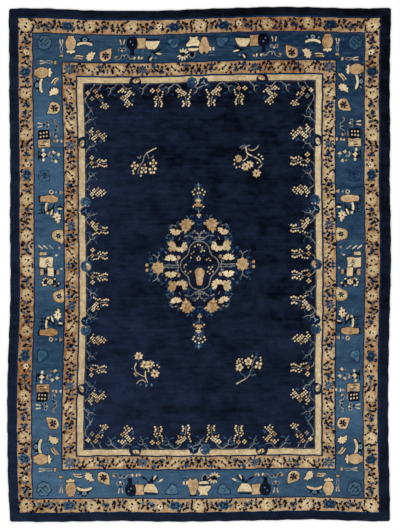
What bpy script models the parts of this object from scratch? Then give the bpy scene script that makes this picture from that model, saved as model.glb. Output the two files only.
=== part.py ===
"""A hand-knotted wool rug of nine by twelve feet, lying flat with its pile up.

The knots are tied on the warps of the rug's own foundation, so the rug is one piece and one
solid: a thin slab with a slightly crooked outline, rounded corners, and pile that rounds over
along all four edges. X runs across the rug and Y along it, from its foot at -Y to its head
at +Y. The origin is the centre of its box, on the floor. All lengths are in metres.
"""

import math
from collections import namedtuple

import bmesh
import bpy
from mathutils import Vector

WIDTH = 2.743  # nine feet, across the warps
LENGTH = 3.690  # twelve feet and an inch, along the warps
THICKNESS = 0.010  # woven foundation and worn pile together
CORNER_RADIUS = 0.016
CORNER_STEPS = 5
POINT_SPACING = 0.036  # along the straight stretches of the outline

# Hand weaving pulls each edge in and out. A row gives how far, in millimetres, the two edges
# bow outwards at one place, and a place is a share of the rug's length or width.
SideBow = namedtuple("SideBow", "place left right")
SIDE_BOWS = (
    SideBow(0.000, -7, 2),
    SideBow(0.083, 8, -3),
    SideBow(0.167, 12, -10),
    SideBow(0.250, 13, -11),
    SideBow(0.333, 5, -7),
    SideBow(0.417, -7, 0),
    SideBow(0.500, -9, 8),
    SideBow(0.583, -6, 6),
    SideBow(0.667, -8, 0),
    SideBow(0.750, -5, 3),
    SideBow(0.833, -1, -1),
    SideBow(0.917, 0, 3),
    SideBow(1.000, 3, 10),
)
EndBow = namedtuple("EndBow", "place foot head")
END_BOWS = (
    EndBow(0.0, 3, 4),
    EndBow(0.1, 6, 3),
    EndBow(0.2, 2, -9),
    EndBow(0.3, -1, -16),
    EndBow(0.4, 4, -12),
    EndBow(0.5, 3, -1),
    EndBow(0.6, -2, 8),
    EndBow(0.7, -7, 15),
    EndBow(0.8, -12, 12),
    EndBow(0.9, -3, 4),
    EndBow(1.0, 4, 7),
)

# The row of knots along an edge isn't even either. Each row here is one wave of that.
Ripple = namedtuple("Ripple", "height length phase")
RIPPLES = (
    Ripple(0.0016, 0.171, 0.4),
    Ripple(0.0010, 0.097, 2.1),
)

# The edge in section, as steps from the wall: how far inwards, and how far up, or down at
# the floor.
RoundOver = namedtuple("RoundOver", "inwards rise")
TOP_ROUND_OVER = (
    RoundOver(0.0010, 0.0022),
    RoundOver(0.0024, 0.0014),
    RoundOver(0.0040, 0.0006),
)
FLOOR_ROUND_OVER = RoundOver(0.0016, 0.0014)

SHARP_ANGLE = math.radians(40)
PILE_NAVY = (0.010, 0.014, 0.032, 1.0)
PILE_ROUGHNESS = 0.95


def clear_scene():
    for thing in list(bpy.data.objects):
        bpy.data.objects.remove(thing)


def smooth_value(rows, column, place):
    """A column of a table at any place, in metres, on a smooth curve through its rows."""
    place = min(max(place, rows[0].place), rows[-1].place)
    low = max(index for index, row in enumerate(rows[:-1]) if row.place <= place)
    here, there = rows[low], rows[low + 1]
    before, beyond = rows[max(low - 1, 0)], rows[min(low + 2, len(rows) - 1)]
    reach = there.place - here.place
    slope_here = slope(before, there, column) * reach
    slope_there = slope(here, beyond, column) * reach
    share = (place - here.place) / reach
    rise = getattr(there, column) - getattr(here, column)
    value = getattr(here, column) + share * slope_here
    value += share**2 * (3 * rise - 2 * slope_here - slope_there)
    value += share**3 * (slope_here + slope_there - 2 * rise)
    return value / 1000


def slope(row, later_row, column):
    """How fast a column of a table rises from one row to a later one."""
    return (getattr(later_row, column) - getattr(row, column)) / (later_row.place - row.place)


def ripple(along):
    """How far the row of knots stands out at a distance along an edge."""
    return sum(
        wave.height * math.sin(2 * math.pi * along / wave.length + wave.phase)
        for wave in RIPPLES
    )


def as_woven(point):
    """Moves a point of the even, straight rug to where it is on the crooked one."""
    across = point.x / WIDTH + 0.5
    along = point.y / LENGTH + 0.5
    left = smooth_value(SIDE_BOWS, "left", along) + ripple(point.y)
    right = smooth_value(SIDE_BOWS, "right", along) + ripple(point.y + WIDTH)
    foot = smooth_value(END_BOWS, "foot", across) + ripple(point.x)
    head = smooth_value(END_BOWS, "head", across) + ripple(point.x + LENGTH)
    return Vector(
        (
            point.x - left * (1 - across) + right * across,
            point.y - foot * (1 - along) + head * along,
        )
    )


def straight_outline():
    """A rectangle with rounded corners, run round once with its inside on the left."""
    inner_x = WIDTH / 2 - CORNER_RADIUS
    inner_y = LENGTH / 2 - CORNER_RADIUS
    centres = ((inner_x, -inner_y), (inner_x, inner_y), (-inner_x, inner_y), (-inner_x, -inner_y))
    points = []
    for quarter, centre in enumerate(centres):
        for step in range(CORNER_STEPS + 1):
            angle = (quarter - 1 + step / CORNER_STEPS) * math.pi / 2
            turned = Vector((math.cos(angle), math.sin(angle))) * CORNER_RADIUS
            points.append(Vector(centre) + turned)
        side = inner_y if quarter % 2 == 0 else inner_x
        pieces = round(2 * side / POINT_SPACING)
        direction = Vector((0, 1)) if quarter % 2 == 0 else Vector((-1, 0))
        if quarter > 1:
            direction.negate()
        start = points[-1]
        for piece in range(1, pieces):
            points.append(start + direction * (2 * side * piece / pieces))
    return points


def woven_outline():
    """The crooked outline, moved so that its box is centred on the origin."""
    points = [as_woven(point) for point in straight_outline()]
    low = Vector((min(p.x for p in points), min(p.y for p in points)))
    high = Vector((max(p.x for p in points), max(p.y for p in points)))
    middle = (low + high) / 2
    return [point - middle for point in points]


def round_over(mesh, face, steps):
    """Insets a flat face step by step, so that its rim curves over to a smaller face."""
    for step in steps:
        bmesh.ops.inset_region(
            mesh,
            faces=[face],
            thickness=step.inwards,
            depth=step.rise,
            use_even_offset=True,
            use_boundary=True,
        )


def rug_mesh():
    mesh = bmesh.new()
    wall_bottom = FLOOR_ROUND_OVER.rise
    wall_top = THICKNESS - sum(step.rise for step in TOP_ROUND_OVER)
    ring = [mesh.verts.new((p.x, p.y, wall_bottom)) for p in woven_outline()]
    floor_face = mesh.faces.new(ring)
    raised = bmesh.ops.extrude_face_region(mesh, geom=[floor_face], use_keep_orig=True)
    top_face = next(item for item in raised["geom"] if isinstance(item, bmesh.types.BMFace))
    bmesh.ops.translate(mesh, verts=top_face.verts, vec=(0, 0, wall_top - wall_bottom))
    bmesh.ops.recalc_face_normals(mesh, faces=mesh.faces)
    round_over(mesh, top_face, TOP_ROUND_OVER)
    round_over(mesh, floor_face, (FLOOR_ROUND_OVER,))
    bmesh.ops.triangulate(mesh, faces=[top_face, floor_face], ngon_method="BEAUTY")
    return mesh


def wool_material():
    material = bpy.data.materials.new("navy_wool_pile")
    material.use_nodes = True
    shader = material.node_tree.nodes["Principled BSDF"]
    shader.inputs["Base Color"].default_value = PILE_NAVY
    shader.inputs["Roughness"].default_value = PILE_ROUGHNESS
    shader.inputs["Metallic"].default_value = 0.0
    material.diffuse_color = PILE_NAVY
    return material


def build_rug():
    mesh = rug_mesh()
    data = bpy.data.meshes.new("rug")
    mesh.to_mesh(data)
    mesh.free()
    data.materials.append(wool_material())
    data.shade_smooth()
    data.set_sharp_from_angle(angle=SHARP_ANGLE)
    rug = bpy.data.objects.new("rug", data)
    bpy.context.scene.collection.objects.link(rug)
    return rug


def main():
    clear_scene()
    build_rug()


main()
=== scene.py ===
"""The looks of a hand-knotted wool rug: its pile with the whole pattern, and its woven back.

The pattern is drawn on a chart, as a weaver's is, in millimetres of the straight, even rug. X
runs across the rug and Y along it, from its foot to its head, from its middle. A chart keeps,
for each yarn, how far every point of a grid lies from that yarn's nearest edge. The pile's mesh
takes those distances as point attributes, and its material cuts each yarn out along the line
where its distance is zero. The mesh then follows the crooked outline of the frame's solid.

The places of motifs, stems and petals were read off the enlarged photograph and are
written in millimetres.
"""

import cmath
import math
from collections import namedtuple

import bmesh
import bpy
import numpy as np
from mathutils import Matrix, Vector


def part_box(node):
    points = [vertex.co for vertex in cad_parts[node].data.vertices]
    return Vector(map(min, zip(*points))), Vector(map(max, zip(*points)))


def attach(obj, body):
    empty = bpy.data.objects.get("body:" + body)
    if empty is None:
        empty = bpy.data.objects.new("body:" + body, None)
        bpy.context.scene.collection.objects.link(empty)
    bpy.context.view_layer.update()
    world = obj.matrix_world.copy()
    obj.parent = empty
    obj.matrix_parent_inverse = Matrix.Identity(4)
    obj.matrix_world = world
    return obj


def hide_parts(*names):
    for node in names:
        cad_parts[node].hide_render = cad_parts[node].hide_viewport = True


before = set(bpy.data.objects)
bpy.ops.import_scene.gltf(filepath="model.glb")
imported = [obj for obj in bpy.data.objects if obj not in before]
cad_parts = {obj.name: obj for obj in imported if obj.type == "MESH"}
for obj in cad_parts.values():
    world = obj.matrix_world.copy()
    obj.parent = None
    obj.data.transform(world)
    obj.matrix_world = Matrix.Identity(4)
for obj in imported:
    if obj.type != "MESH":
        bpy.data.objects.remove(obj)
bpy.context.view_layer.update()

MM = 0.001  # of a metre

# The straight rug, in millimetres
WIDTH = 2743.0
LENGTH = 3690.0
HALF_WIDTH = WIDTH / 2
HALF_LENGTH = LENGTH / 2
CORNER_RADIUS = 16.0
FOUNDATION = 3.0  # the woven back, under the pile
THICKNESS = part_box("rug")[1].z / MM

# The pile's edge in section: how far in from the edge, and how far below the top
Rim = namedtuple("Rim", "inwards below")
PILE_RIM = (Rim(0, 4.2), Rim(0.4, 3.0), Rim(1.0, 2.0), Rim(2.2, 1.1), Rim(3.8, 0.5), Rim(7.4, 0))
BACK_RIM = (Rim(0, 1.4), Rim(1.6, 0))

# The grid is fine where there are motifs and wide on the plain stripe along the edge
PLAIN_STRIPE = 58.0
PILE_PITCH = 5.05
PILE_STRIPE_PITCH = 12.0
BACK_PITCH = 12.0
PILE_COLUMNS = 3  # the pile is made in pieces, three across and four along
PILE_ROWS = 4

# Yarns from the lowest to the highest. The navy ground isn't here: it is where no other lies.
YARNS = ("blue", "sky", "gold", "straw", "tan", "cream", "ash", "pale", "royal", "ink")
FAR = 30.0  # a distance for points that no motif comes near
UNDERLAP = 3.0  # how far a yarn reaches under a higher one
EDGE_ROOM = 14.0  # drawn round each shape, for its distances outside it
MOTIF_SHADE_RIM = 5.5  # of ink, round a motif: partly its dark outline, partly painted shade
SMOOTHING = 5  # points on a curve for each stretch of it
TINY = 1e-6


Wave = namedtuple("Wave", "height length angle push phase")
HAND_WAVES = (
    Wave(0.7, 210, 20, 100, 0.4),
    Wave(0.5, 147, 75, 10, 2.0),
    Wave(0.5, 83, 130, 60, 4.1),
    Wave(0.4, 41, 50, 150, 1.3),
)
# The cream band doesn't follow the outline quite. A row gives how far, in millimetres, the band
# on two opposite sides lies to the right, or to the head, at a share of the length or width. The
# rows were measured on the photograph and rounded.
BandPull = namedtuple("BandPull", "place first second")
SIDE_PULLS = (
    BandPull(0.00, 0, 0), BandPull(0.15, 0, 7), BandPull(0.20, 2, 9), BandPull(0.26, 7, 9),
    BandPull(0.31, 8, 5),
    BandPull(0.40, 4, 5), BandPull(0.45, 0, -1), BandPull(0.55, -3, -5), BandPull(0.65, -4, -6),
    BandPull(0.72, -5, -7), BandPull(0.78, -7, -4), BandPull(0.83, -12, 2), BandPull(1.00, -12, 2),
)
END_PULLS = (
    BandPull(0.00, -2, -4), BandPull(0.25, -2, -3), BandPull(0.45, -1, 0), BandPull(0.60, -5, -2),
    BandPull(0.72, -4, -5), BandPull(0.80, -12, -2), BandPull(1.00, -12, -1),
)
PULL_DEPTH = 500.0  # from the edge to the cream band


def spin(degrees):
    return cmath.exp(1j * math.radians(degrees))


def hand_waves(points):
    """How far a weaver's hand strays from the chart at each point."""
    stray = np.zeros(points.shape, complex)
    for wave in HAND_WAVES:
        along = (points * spin(-wave.angle)).real
        stray += wave.height * spin(wave.push) * np.sin(math.tau * along / wave.length + wave.phase)
    return stray


def pulled(along, across, half_along, half_across, rows):
    """How far the band's pull moves each point, along one axis of the rug."""
    place = along / (2 * half_along) + 0.5
    first = np.interp(place, [row.place for row in rows], [row.first for row in rows])
    second = np.interp(place, [row.place for row in rows], [row.second for row in rows])
    reach = half_across - PULL_DEPTH
    share = np.clip(across / reach, -1, 1) / 2 + 0.5
    fading = np.clip((half_across - np.abs(across)) / PULL_DEPTH, 0, 1)
    return (first * (1 - share) + second * share) * fading


def band_pulls(points):
    right = pulled(points.imag, points.real, HALF_LENGTH, HALF_WIDTH, SIDE_PULLS)
    headwards = pulled(points.real, points.imag, HALF_WIDTH, HALF_LENGTH, END_PULLS)
    return right + 1j * headwards


def smooth_line(points, closed=False):
    """Points close together on a smooth curve through the given ones."""
    knots = np.array([complex(*point) for point in points])
    if closed:
        ends = (knots[-1:], knots, knots[:2])
    else:
        ends = (2 * knots[:1] - knots[1:2], knots, 2 * knots[-1:] - knots[-2:-1])
    run = np.concatenate(ends)
    before, here, there, beyond = run[:-3], run[1:-2], run[2:-1], run[3:]
    share = np.arange(SMOOTHING)[:, None] / SMOOTHING
    curve = here + share * (there - before) / 2
    curve = curve + share**2 * (2 * before - 5 * here + 4 * there - beyond) / 2
    curve = curve + share**3 * (3 * here - before - 3 * there + beyond) / 2
    line = curve.T.ravel()
    return line if closed else np.append(line, knots[-1])


def middle_of(line):
    """The middle of the box round a line's points."""
    return (line.real.min() + line.real.max() + 1j * (line.imag.min() + line.imag.max())) / 2


def along_step(spots, start, step):
    """How far along a step, as a share of it, each spot's nearest point lies."""
    share = ((spots - start) * step.conjugate()).real / (abs(step) ** 2 + TINY)
    return np.clip(share, 0, 1)


def both_sides(half):
    """A whole outline from its right half, which runs from one end to the other."""
    return list(half) + [(-x, y) for x, y in reversed(half)]


class Chart:
    """How far each point of a grid lies from every yarn's nearest edge, inside below zero."""

    def __init__(self, across, along):
        self.across = across
        self.along = along
        self.yarns = {yarn: np.full((len(along), len(across)), FAR, np.float32) for yarn in YARNS}
        straight = across[None, :] + 1j * along[:, None]
        self.points = straight + hand_waves(straight) - band_pulls(straight)

    def paint(self, yarn, middle, reach, distance):
        """Lays one shape over what is there. Navy only clears the yarns on top of it."""
        columns = np.searchsorted(self.across, (middle.real - reach, middle.real + reach))
        rows = np.searchsorted(self.along, (middle.imag - reach, middle.imag + reach))
        window = (slice(*rows), slice(*columns))
        if rows[0] == rows[1] or columns[0] == columns[1]:
            return
        away = distance(self.points[window]).astype(np.float32)
        above = YARNS if yarn == "navy" else YARNS[YARNS.index(yarn) + 1:]
        cover = np.full(away.shape, FAR, np.float32)
        for upper in above:
            layer = self.yarns[upper][window]
            np.minimum(cover, layer, out=cover)
            np.maximum(layer, -away, out=layer)
        if yarn != "navy":
            layer = self.yarns[yarn][window]
            under = np.maximum(away - UNDERLAP, cover)
            np.minimum(layer, np.minimum(away, under), out=layer)


class Pen:
    """Draws on a chart in millimetres of its own, placed, turned, sized and mirrored."""

    def __init__(self, chart, place=0j, turn=1 + 0j, mirrored=False):
        self.chart = chart
        self.place = place
        self.turn = turn
        self.mirrored = mirrored

    def at(self, x, y, turn=0, size=1, mirrored=False):
        factor = size * spin(turn)
        if self.mirrored:
            factor = factor.conjugate()
        place = self.on_rug(complex(x, y))
        return Pen(self.chart, place, self.turn * factor, self.mirrored != mirrored)

    def on_rug(self, point):
        return self.place + self.turn * (point.conjugate() if self.mirrored else point)

    def halves(self):
        """This pen, and one that draws the same in mirror image to the other side of its place."""
        return self, self.at(0, 0, 180, mirrored=True)

    def lay(self, yarn, middle, reach, distance):
        size = abs(self.turn)

        def on_chart(points):
            local = (points - self.place) / self.turn
            return distance(local.conj() if self.mirrored else local) * size

        self.chart.paint(yarn, self.on_rug(middle), reach * size + EDGE_ROOM, on_chart)

    def disc(self, yarn, x, y, wide, tall=None, turn=0):
        """An ellipse, by half its width and half its height."""
        tall = tall or wide
        centre = complex(x, y)

        def distance(points):
            local = (points - centre) * spin(-turn)
            share = np.hypot(local.real / wide, local.imag / tall)
            steep = np.hypot(local.real / wide**2, local.imag / tall**2) + TINY
            return share * (share - 1) / steep

        self.lay(yarn, centre, max(wide, tall), distance)

    def ring(self, yarn, x, y, radius, width):
        centre = complex(x, y)
        self.lay(yarn, centre, radius + width,
                 lambda points: np.abs(np.abs(points - centre) - radius) - width / 2)

    def leaf(self, yarn, x, y, turn, length, width):
        """A pointed leaf that runs out from a point at an angle."""
        middle = complex(x, y) + spin(turn) * length / 2
        bow = (length**2 + width**2) / (4 * width)

        def distance(points):
            local = (points - middle) * spin(-turn)
            return np.hypot(local.real, np.abs(local.imag) + bow - width / 2) - bow

        self.lay(yarn, middle, length / 2, distance)

    def leaves(self, yarn, length, width, spots):
        """Leaves of one size, each from a point at an angle."""
        for x, y, turn in spots:
            self.leaf(yarn, x, y, turn, length, width)

    def discs(self, yarn, ovals):
        for oval in ovals:
            self.disc(yarn, *oval)

    def strokes(self, yarn, width, lines):
        for line in lines:
            self.stroke(yarn, line, width)

    def flower(self, yarn, x, y, reach, petals, dent=0.3, turn=90):
        """A round flower, drawn in between its petals."""
        centre = complex(x, y)

        def distance(points):
            local = (points - centre) * spin(-turn)
            petal = np.abs(np.cos(np.angle(local) * petals / 2))
            return (np.abs(local) - reach * (1 - dent + dent * petal)) * (1 - dent / 3)

        self.lay(yarn, centre, reach, distance)

    def stroke(self, yarn, points, width, end_width=None):
        """A smooth line through its points, which may narrow towards its end."""
        line = smooth_line(points)
        halves = np.linspace(width, end_width or width, len(line)) / 2

        def distance(spots):
            best = np.full(spots.shape, np.inf)
            for start, end, half, half_after in zip(line, line[1:], halves, halves[1:]):
                step = end - start
                share = along_step(spots, start, step)
                reach = half + share * (half_after - half)
                np.minimum(best, np.abs(spots - start - share * step) - reach, out=best)
            return best

        middle = middle_of(line)
        self.lay(yarn, middle, np.abs(line - middle).max() + width, distance)

    def shape(self, yarn, points, smooth=True, rim=0.0):
        """A closed outline, with a rim of ink round it where one is given: partly a dark outline, partly
        painted shade.
        """
        ring = smooth_line(points, closed=True) if smooth else np.array([complex(*p) for p in points])

        def distance(spots):
            best = np.full(spots.shape, np.inf)
            inside = np.zeros(spots.shape, bool)
            for start, end in zip(ring, np.roll(ring, -1)):
                step = end - start
                share = along_step(spots, start, step)
                np.minimum(best, np.abs(spots - start - share * step), out=best)
                crossed = (start.imag > spots.imag) != (end.imag > spots.imag)
                meet = start.real + (spots.imag - start.imag) * step.real / (step.imag or TINY)
                inside ^= crossed & (spots.real < meet)
            return np.where(inside, -best, best)

        middle = middle_of(ring)
        reach = np.abs(ring - middle).max()
        if rim:
            self.lay("ink", middle, reach + rim, lambda spots: distance(spots) - rim)
        self.lay(yarn, middle, reach, distance)

    def body(self, yarn, points):
        """A smooth outline in the motifs' rim of ink, which is partly painted shade."""
        self.shape(yarn, points, rim=MOTIF_SHADE_RIM)

    def plate(self, yarn, points):
        """A straight-sided outline in the motifs' rim of ink, which is partly painted shade."""
        self.shape(yarn, points, smooth=False, rim=MOTIF_SHADE_RIM)


# The plain bands, each from here to the middle of the rug, in millimetres in from each edge.
# They were measured on the photograph and rounded.
Band = namedtuple("Band", "yarn left right foot head")
BANDS = (
    Band("royal", 60, 69, 57, 60),
    Band("gold", 72, 81, 69, 72),
    Band("royal", 170, 180, 163, 171),
    Band("blue", 180, 190, 173, 181),
    Band("royal", 387, 385, 371, 372),
    Band("gold", 397, 395, 381, 382),
    Band("royal", 491, 480, 469, 470),
    Band("straw", 503, 493, 480, 483),
    Band("royal", 545, 533, 519, 522),
    Band("navy", 553, 541, 527, 530),
)
# The lines along which the motifs of each border stand, in from the straight edge
SideLines = namedtuple("SideLines", "turn half_run outer main inner field")
SIDES = {
    "foot": SideLines(0, HALF_LENGTH, 116, 267, 425, 526),
    "right": SideLines(90, HALF_WIDTH, 130, 287, 437, 540),
    "head": SideLines(180, HALF_LENGTH, 121, 274, 426, 529),
    "left": SideLines(270, HALF_WIDTH, 121, 284, 444, 552),
}


ENDS = ("head", "foot")


def draw_bands(chart):
    for band in BANDS:
        low = complex(band.left - HALF_WIDTH, band.foot - HALF_LENGTH)
        high = complex(HALF_WIDTH - band.right, HALF_LENGTH - band.head)

        def distance(points):
            across = np.maximum(low.real - points.real, points.real - high.real)
            along = np.maximum(low.imag - points.imag, points.imag - high.imag)
            return np.clip(np.maximum(across, along), -FAR, FAR)

        chart.paint(band.yarn, 0j, LENGTH, distance)


def side_pens(chart, line):
    """For each side, its name and a pen at its middle, with x along it and y into the rug."""
    for name, side in SIDES.items():
        place = -1j * spin(side.turn) * (side.half_run - getattr(side, line))
        yield name, Pen(chart, place, spin(side.turn))


# Motifs of the main border. Each stands on the border's outer side and points into the rug.


def corner_roundel(pen):
    pen.flower("ink", 0, 0, 58, 7, 0.16)
    pen.flower("sky", 0, 0, 51, 7, 0.16)
    pen.strokes("ink", 7, (((-30, -6), (-10, 24)), ((-10, 24), (6, 2)), ((6, 2), (26, 16)),
                           ((-20, -26), (-2, -8)), ((4, -30), (26, -14)), ((20, -4), (34, -20))))


def tassel(pen):
    for side in (-1, 1):
        pen.stroke("cream", ((side * 10, -60), (side * 6, -26)), 7, 5)
        pen.stroke("ash", ((side * 3, -20), (side * 9, 4), (side * 4, 32)), 5)
    pen.disc("ash", 0, -24, 6, 5)
    pen.body("tan", both_sides(((0, 44), (13, 50), (9, 62), (0, 58))))


def round_vase(pen):
    pen.body("tan", both_sides(((20, -62), (21, -50), (32, -36), (38, -12), (32, 16), (20, 34), (13, 44))))
    pen.plate("cream", both_sides(((14, 40), (34, 42), (25, 58), (10, 54), (0, 68))))
    pen.leaf("gold", -14, -30, 60, 40, 5)
    pen.disc("ink", 0, 74, 5)


def altar_table(pen):
    pen.shape("ink", ((-50, -2), (-46, -26), (-20, -24), (-16, -40), (18, -40), (22, -24), (48, -26),
                      (52, -2), (26, 2), (0, -2), (-26, 2)), smooth=False)
    pen.disc("pale", 0, -18, 17, 13)
    pen.disc("ink", 0, -18, 7, 5)
    pen.disc("pale", -40, -14, 8, 6, 30)
    pen.disc("pale", 42, -12, 7, 6, -30)
    pen.stroke("ink", ((-52, 16), (0, 6), (52, 18)), 20)
    pen.stroke("cream", ((-48, 20), (-24, 10), (0, 7), (24, 10), (48, 22)), 16)
    pen.stroke("ink", ((6, 22), (28, 25), (44, 34)), 5)


def twin_scroll(pen):
    pen.stroke("ink", ((-30, -10), (0, -14), (28, -8)), 8)
    pen.stroke("cream", ((-26, -4), (0, -7), (24, -3)), 8)
    pen.stroke("ink", ((-30, 4), (0, 2), (24, 6)), 7)
    pen.stroke("tan", ((-20, 13), (4, 10), (34, 12)), 11)


def jagged_leaf(pen):
    pen.plate("cream", ((-40, -14), (-14, 2), (-4, 24), (10, 20), (16, 34), (24, 22), (38, 24), (34, 10),
                        (44, 0), (30, -6), (34, -20), (18, -18), (12, -32), (0, -20), (-12, -34),
                        (-18, -20)))
    pen.stroke("tan", ((-16, -8), (4, 0), (22, 6)), 4)
    pen.disc("ink", -12, 14, 6, 5)


def figured_fan(pen):
    """A shield with one long corner, and a dark flower on it."""
    pen.plate("tan", ((-42, -52), (-42, -8), (-34, 24), (-14, 40), (20, 42), (40, 26), (42, -14), (30, -26)))
    pen.stroke("cream", ((-36, -40), (-34, 0), (-22, 28), (16, 36), (34, 18)), 5)
    for petal in range(6):
        pen.leaf("ink", 0, 2, 60 * petal + 20, 31, 15)
    for x, y in ((9, 8), (-9, 4), (1, -9)):
        pen.disc("tan", x, y, 3.5)


def rods_and_knot(pen):
    for side in (-1, 1):
        pen.stroke("cream", ((side * 15, -64), (side * 9, -34)), 9, 6)
        pen.disc("ash", side * 16, 2, 13, 12)
        pen.disc("ink", side * 15, 2, 8, 8)
    pen.shape("ink", ((-14, -26), (14, -26), (0, -12)), smooth=False)
    pen.disc("cream", 0, 14, 5, 7)
    pen.disc("ink", 0, 30, 5, 4)


def cloud_scroll(pen):
    pen.stroke("ink", ((-60, 2), (-40, 16), (-14, -10), (6, 2), (30, 6), (62, 16)), 12)
    pen.stroke("ash", ((-60, -2), (-54, 10), (-38, 12), (-26, -2), (-14, -16), (2, -10), (4, 4)), 5.5)
    pen.stroke("ash", ((4, -10), (18, -18), (26, 0), (38, 14), (58, 18), (68, 8)), 5.5)
    pen.leaf("tan", 50, -2, 10, 26, 12)


def dark_vase(pen):
    outline = both_sides(((18, -62), (34, -38), (37, -8), (30, 10), (13, 28), (11, 52), (14, 64)))
    pen.shape("navy", outline)
    pen.stroke("ink", outline + outline[:1], 7)
    for x in (-22, -8, 8, 22):
        pen.stroke("ink", ((x - 10, -46), (x, -18), (x * 0.5 + 6, 12)), 6)
        pen.stroke("ink", ((x + 10, -44), (x, -20), (x * 0.5 - 6, 12)), 6)
    pen.disc("pale", -4, -8, 5)
    pen.disc("pale", 12, -30, 5)
    pen.stroke("ink", ((0, 22), (0, 58)), 10)


def square_vase(pen):
    pen.plate("tan", both_sides(((32, -44), (24, -20), (28, 12), (30, 32), (16, 28))))
    pen.stroke("gold", ((-20, -30), (20, -30)), 4)
    pen.stroke("pale", ((-14, 40), (-10, 54), (4, 58)), 4)
    pen.stroke("royal", ((10, 40), (14, 56)), 5)


def bowl(pen):
    pen.stroke("ink", ((-44, -46), (44, -46)), 9)
    pen.plate("cream", both_sides(((56, -32), (40, 4), (22, 26))))
    pen.stroke("tan", ((-36, -20), (0, -16), (36, -22)), 4)


def leaf_fan(pen):
    """Two small tufts of blade leaves, of ink and cream."""
    for x, y, turn, length in ((40, -24, 174, 110), (14, -20, 148, 56), (-6, -20, 212, 56),
                               (56, 16, 158, 62), (44, 24, 104, 36), (50, 30, 230, 44)):
        pen.leaf("ink", x, y, turn, length, 15)
    pen.leaf("cream", -4, -14, 172, 52, 13)
    pen.leaf("cream", 36, 42, 236, 36, 12)
    pen.leaf("pale", 6, 24, 200, 24, 8)


def leaf_tuft(pen):
    """Blade leaves that rise and spread from the mound below them."""
    for x, y, turn, length in ((-4, 14, 124, 64), (4, 4, 88, 58), (0, 0, 58, 44), (38, 24, 28, 62),
                               (12, 2, 24, 40)):
        pen.leaf("ink", x, y, turn, length, 14)
    pen.leaf("cream", 0, 26, 118, 44, 12)
    pen.leaf("cream", -34, 14, 150, 46, 12)
    pen.leaf("pale", -14, 8, 160, 34, 9)


def buds(pen):
    pen.leaf("tan", -32, -6, 40, 24, 15)
    pen.leaf("cream", 0, -14, 100, 26, 13)
    pen.leaf("cream", 26, -12, 80, 24, 14)
    pen.stroke("ink", ((-8, -16), (6, -26), (24, -16)), 4)


def cartouche(pen):
    pen.shape("royal", ((-46, -36), (44, -38), (46, -6), (24, 12), (12, 38), (-14, 40), (-38, 24),
                        (-44, -4)))
    pen.shape("sky", ((-39, -30), (37, -32), (39, -9), (18, 8), (8, 31), (-12, 33), (-32, 20), (-38, -4)))
    pen.stroke("ink", ((-20, -14), (-4, -22), (8, -12), (2, 2), (-10, 2)), 4)
    pen.stroke("pale", ((-26, 8), (-14, 20), (2, 18)), 4)
    pen.stroke("pale", ((14, -24), (26, -16), (24, -4)), 4)


def fret_square(pen):
    pen.strokes("royal", 6, (((-38, 40), (-42, -4), (-34, -38)), ((-34, 40), (30, 38)),
                             ((32, 36), (36, 4), (28, -34)), ((-30, -36), (10, -40)),
                             ((-14, 22), (-16, -10)), ((-2, 28), (6, -2), (-4, -22)),
                             ((16, 24), (20, -8)), ((-22, 4), (22, 2)), ((6, -14), (22, -26))))
    pen.stroke("ink", ((-6, 6), (10, 14)), 6)


def chest(pen):
    pen.shape("ink", ((-36, -42), (34, -42), (36, 38), (-34, 40)), smooth=False)
    for column in (-1, 0, 1):
        for row in (-1, 1):
            pen.disc("cream", row * 13 + column * 2, column * 22 - 2, 7, 6)
    pen.stroke("pale", ((-44, -36), (-44, 30)), 4)
    pen.stroke("tan", ((-16, 48), (14, 48)), 5)


def figured_pot(pen):
    pen.plate("tan", ((-30, -44), (26, -44), (30, -20), (24, 20), (34, 46), (-28, 44), (-24, 0)))
    pen.stroke("ink", ((-14, -26), (-14, 4)), 8)
    pen.stroke("ink", ((8, 24), (14, 4), (2, -6), (6, -20)), 6)
    pen.disc("cream", -4, 18, 8, 8)


def cross_stand(pen):
    pen.shape("ink", ((-14, -44), (6, -22), (26, -30), (16, -4), (26, 24), (4, 16), (-16, 34), (-12, 4),
                      (-30, -14)), smooth=False)
    pen.flower("cream", 2, -2, 17, 4, 0.45)
    pen.disc("tan", 2, -2, 4)
    pen.disc("cream", -34, 0, 11, 9)
    pen.disc("cream", 36, -6, 11, 9)
    pen.stroke("ink", ((-34, -38), (34, -38)), 9)
    pen.stroke("tan", ((-12, 42), (2, 36), (20, 44)), 8)


def blossom_knot(pen):
    for x, y, reach, yarn in ((-32, 8, 12, "cream"), (2, -22, 11, "pale"), (18, 26, 13, "cream"),
                              (34, -10, 12, "cream"), (-2, 30, 8, "pale"), (-28, -18, 7, "tan")):
        # An ink disc set off to one side of each flower: partly its dark outline, partly a painted shadow on
        # that side
        pen.disc("ink", x + 5, y + 5, reach)
        pen.flower(yarn, x, y, reach, 4, 0.4)
        pen.disc("ink", x, y, 3)


def small_trio(pen):
    pen.ring("cream", 0, -34, 12, 6)
    pen.stroke("ink", ((-6, -34), (8, -34)), 5)
    pen.disc("pale", 0, 2, 9, 8)
    pen.stroke("ink", ((-10, 20), (12, 20)), 6)
    pen.shape("tan", ((-15, 27), (15, 27), (0, 52)), smooth=False)


def long_vase(pen):
    pen.body("tan", both_sides(((16, -64), (19, -40), (25, -4), (26, 24), (15, 56), (6, 62))))
    pen.stroke("ink", ((-22, -74), (22, -74)), 9)
    pen.disc("gold", 2, 0, 9, 26)
    pen.stroke("ink", ((-12, 72), (0, 66), (12, 74)), 4)


def lattice_table(pen):
    pen.strokes("ink", 7, (((-42, -52), (-38, -10)), ((42, -52), (38, -10)), ((-40, -30), (40, -30)),
                           ((-18, -50), (-16, -14)), ((18, -50), (16, -14))))
    pen.stroke("ink", ((-44, -8), (44, -8)), 12)
    pen.stroke("ink", ((-34, 14), (0, 18), (32, 12)), 6)
    pen.stroke("cream", ((-46, 14), (-22, 2), (0, 0), (24, 3), (46, 18)), 14)
    pen.disc("pale", 26, 20, 9, 4, 30)


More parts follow.
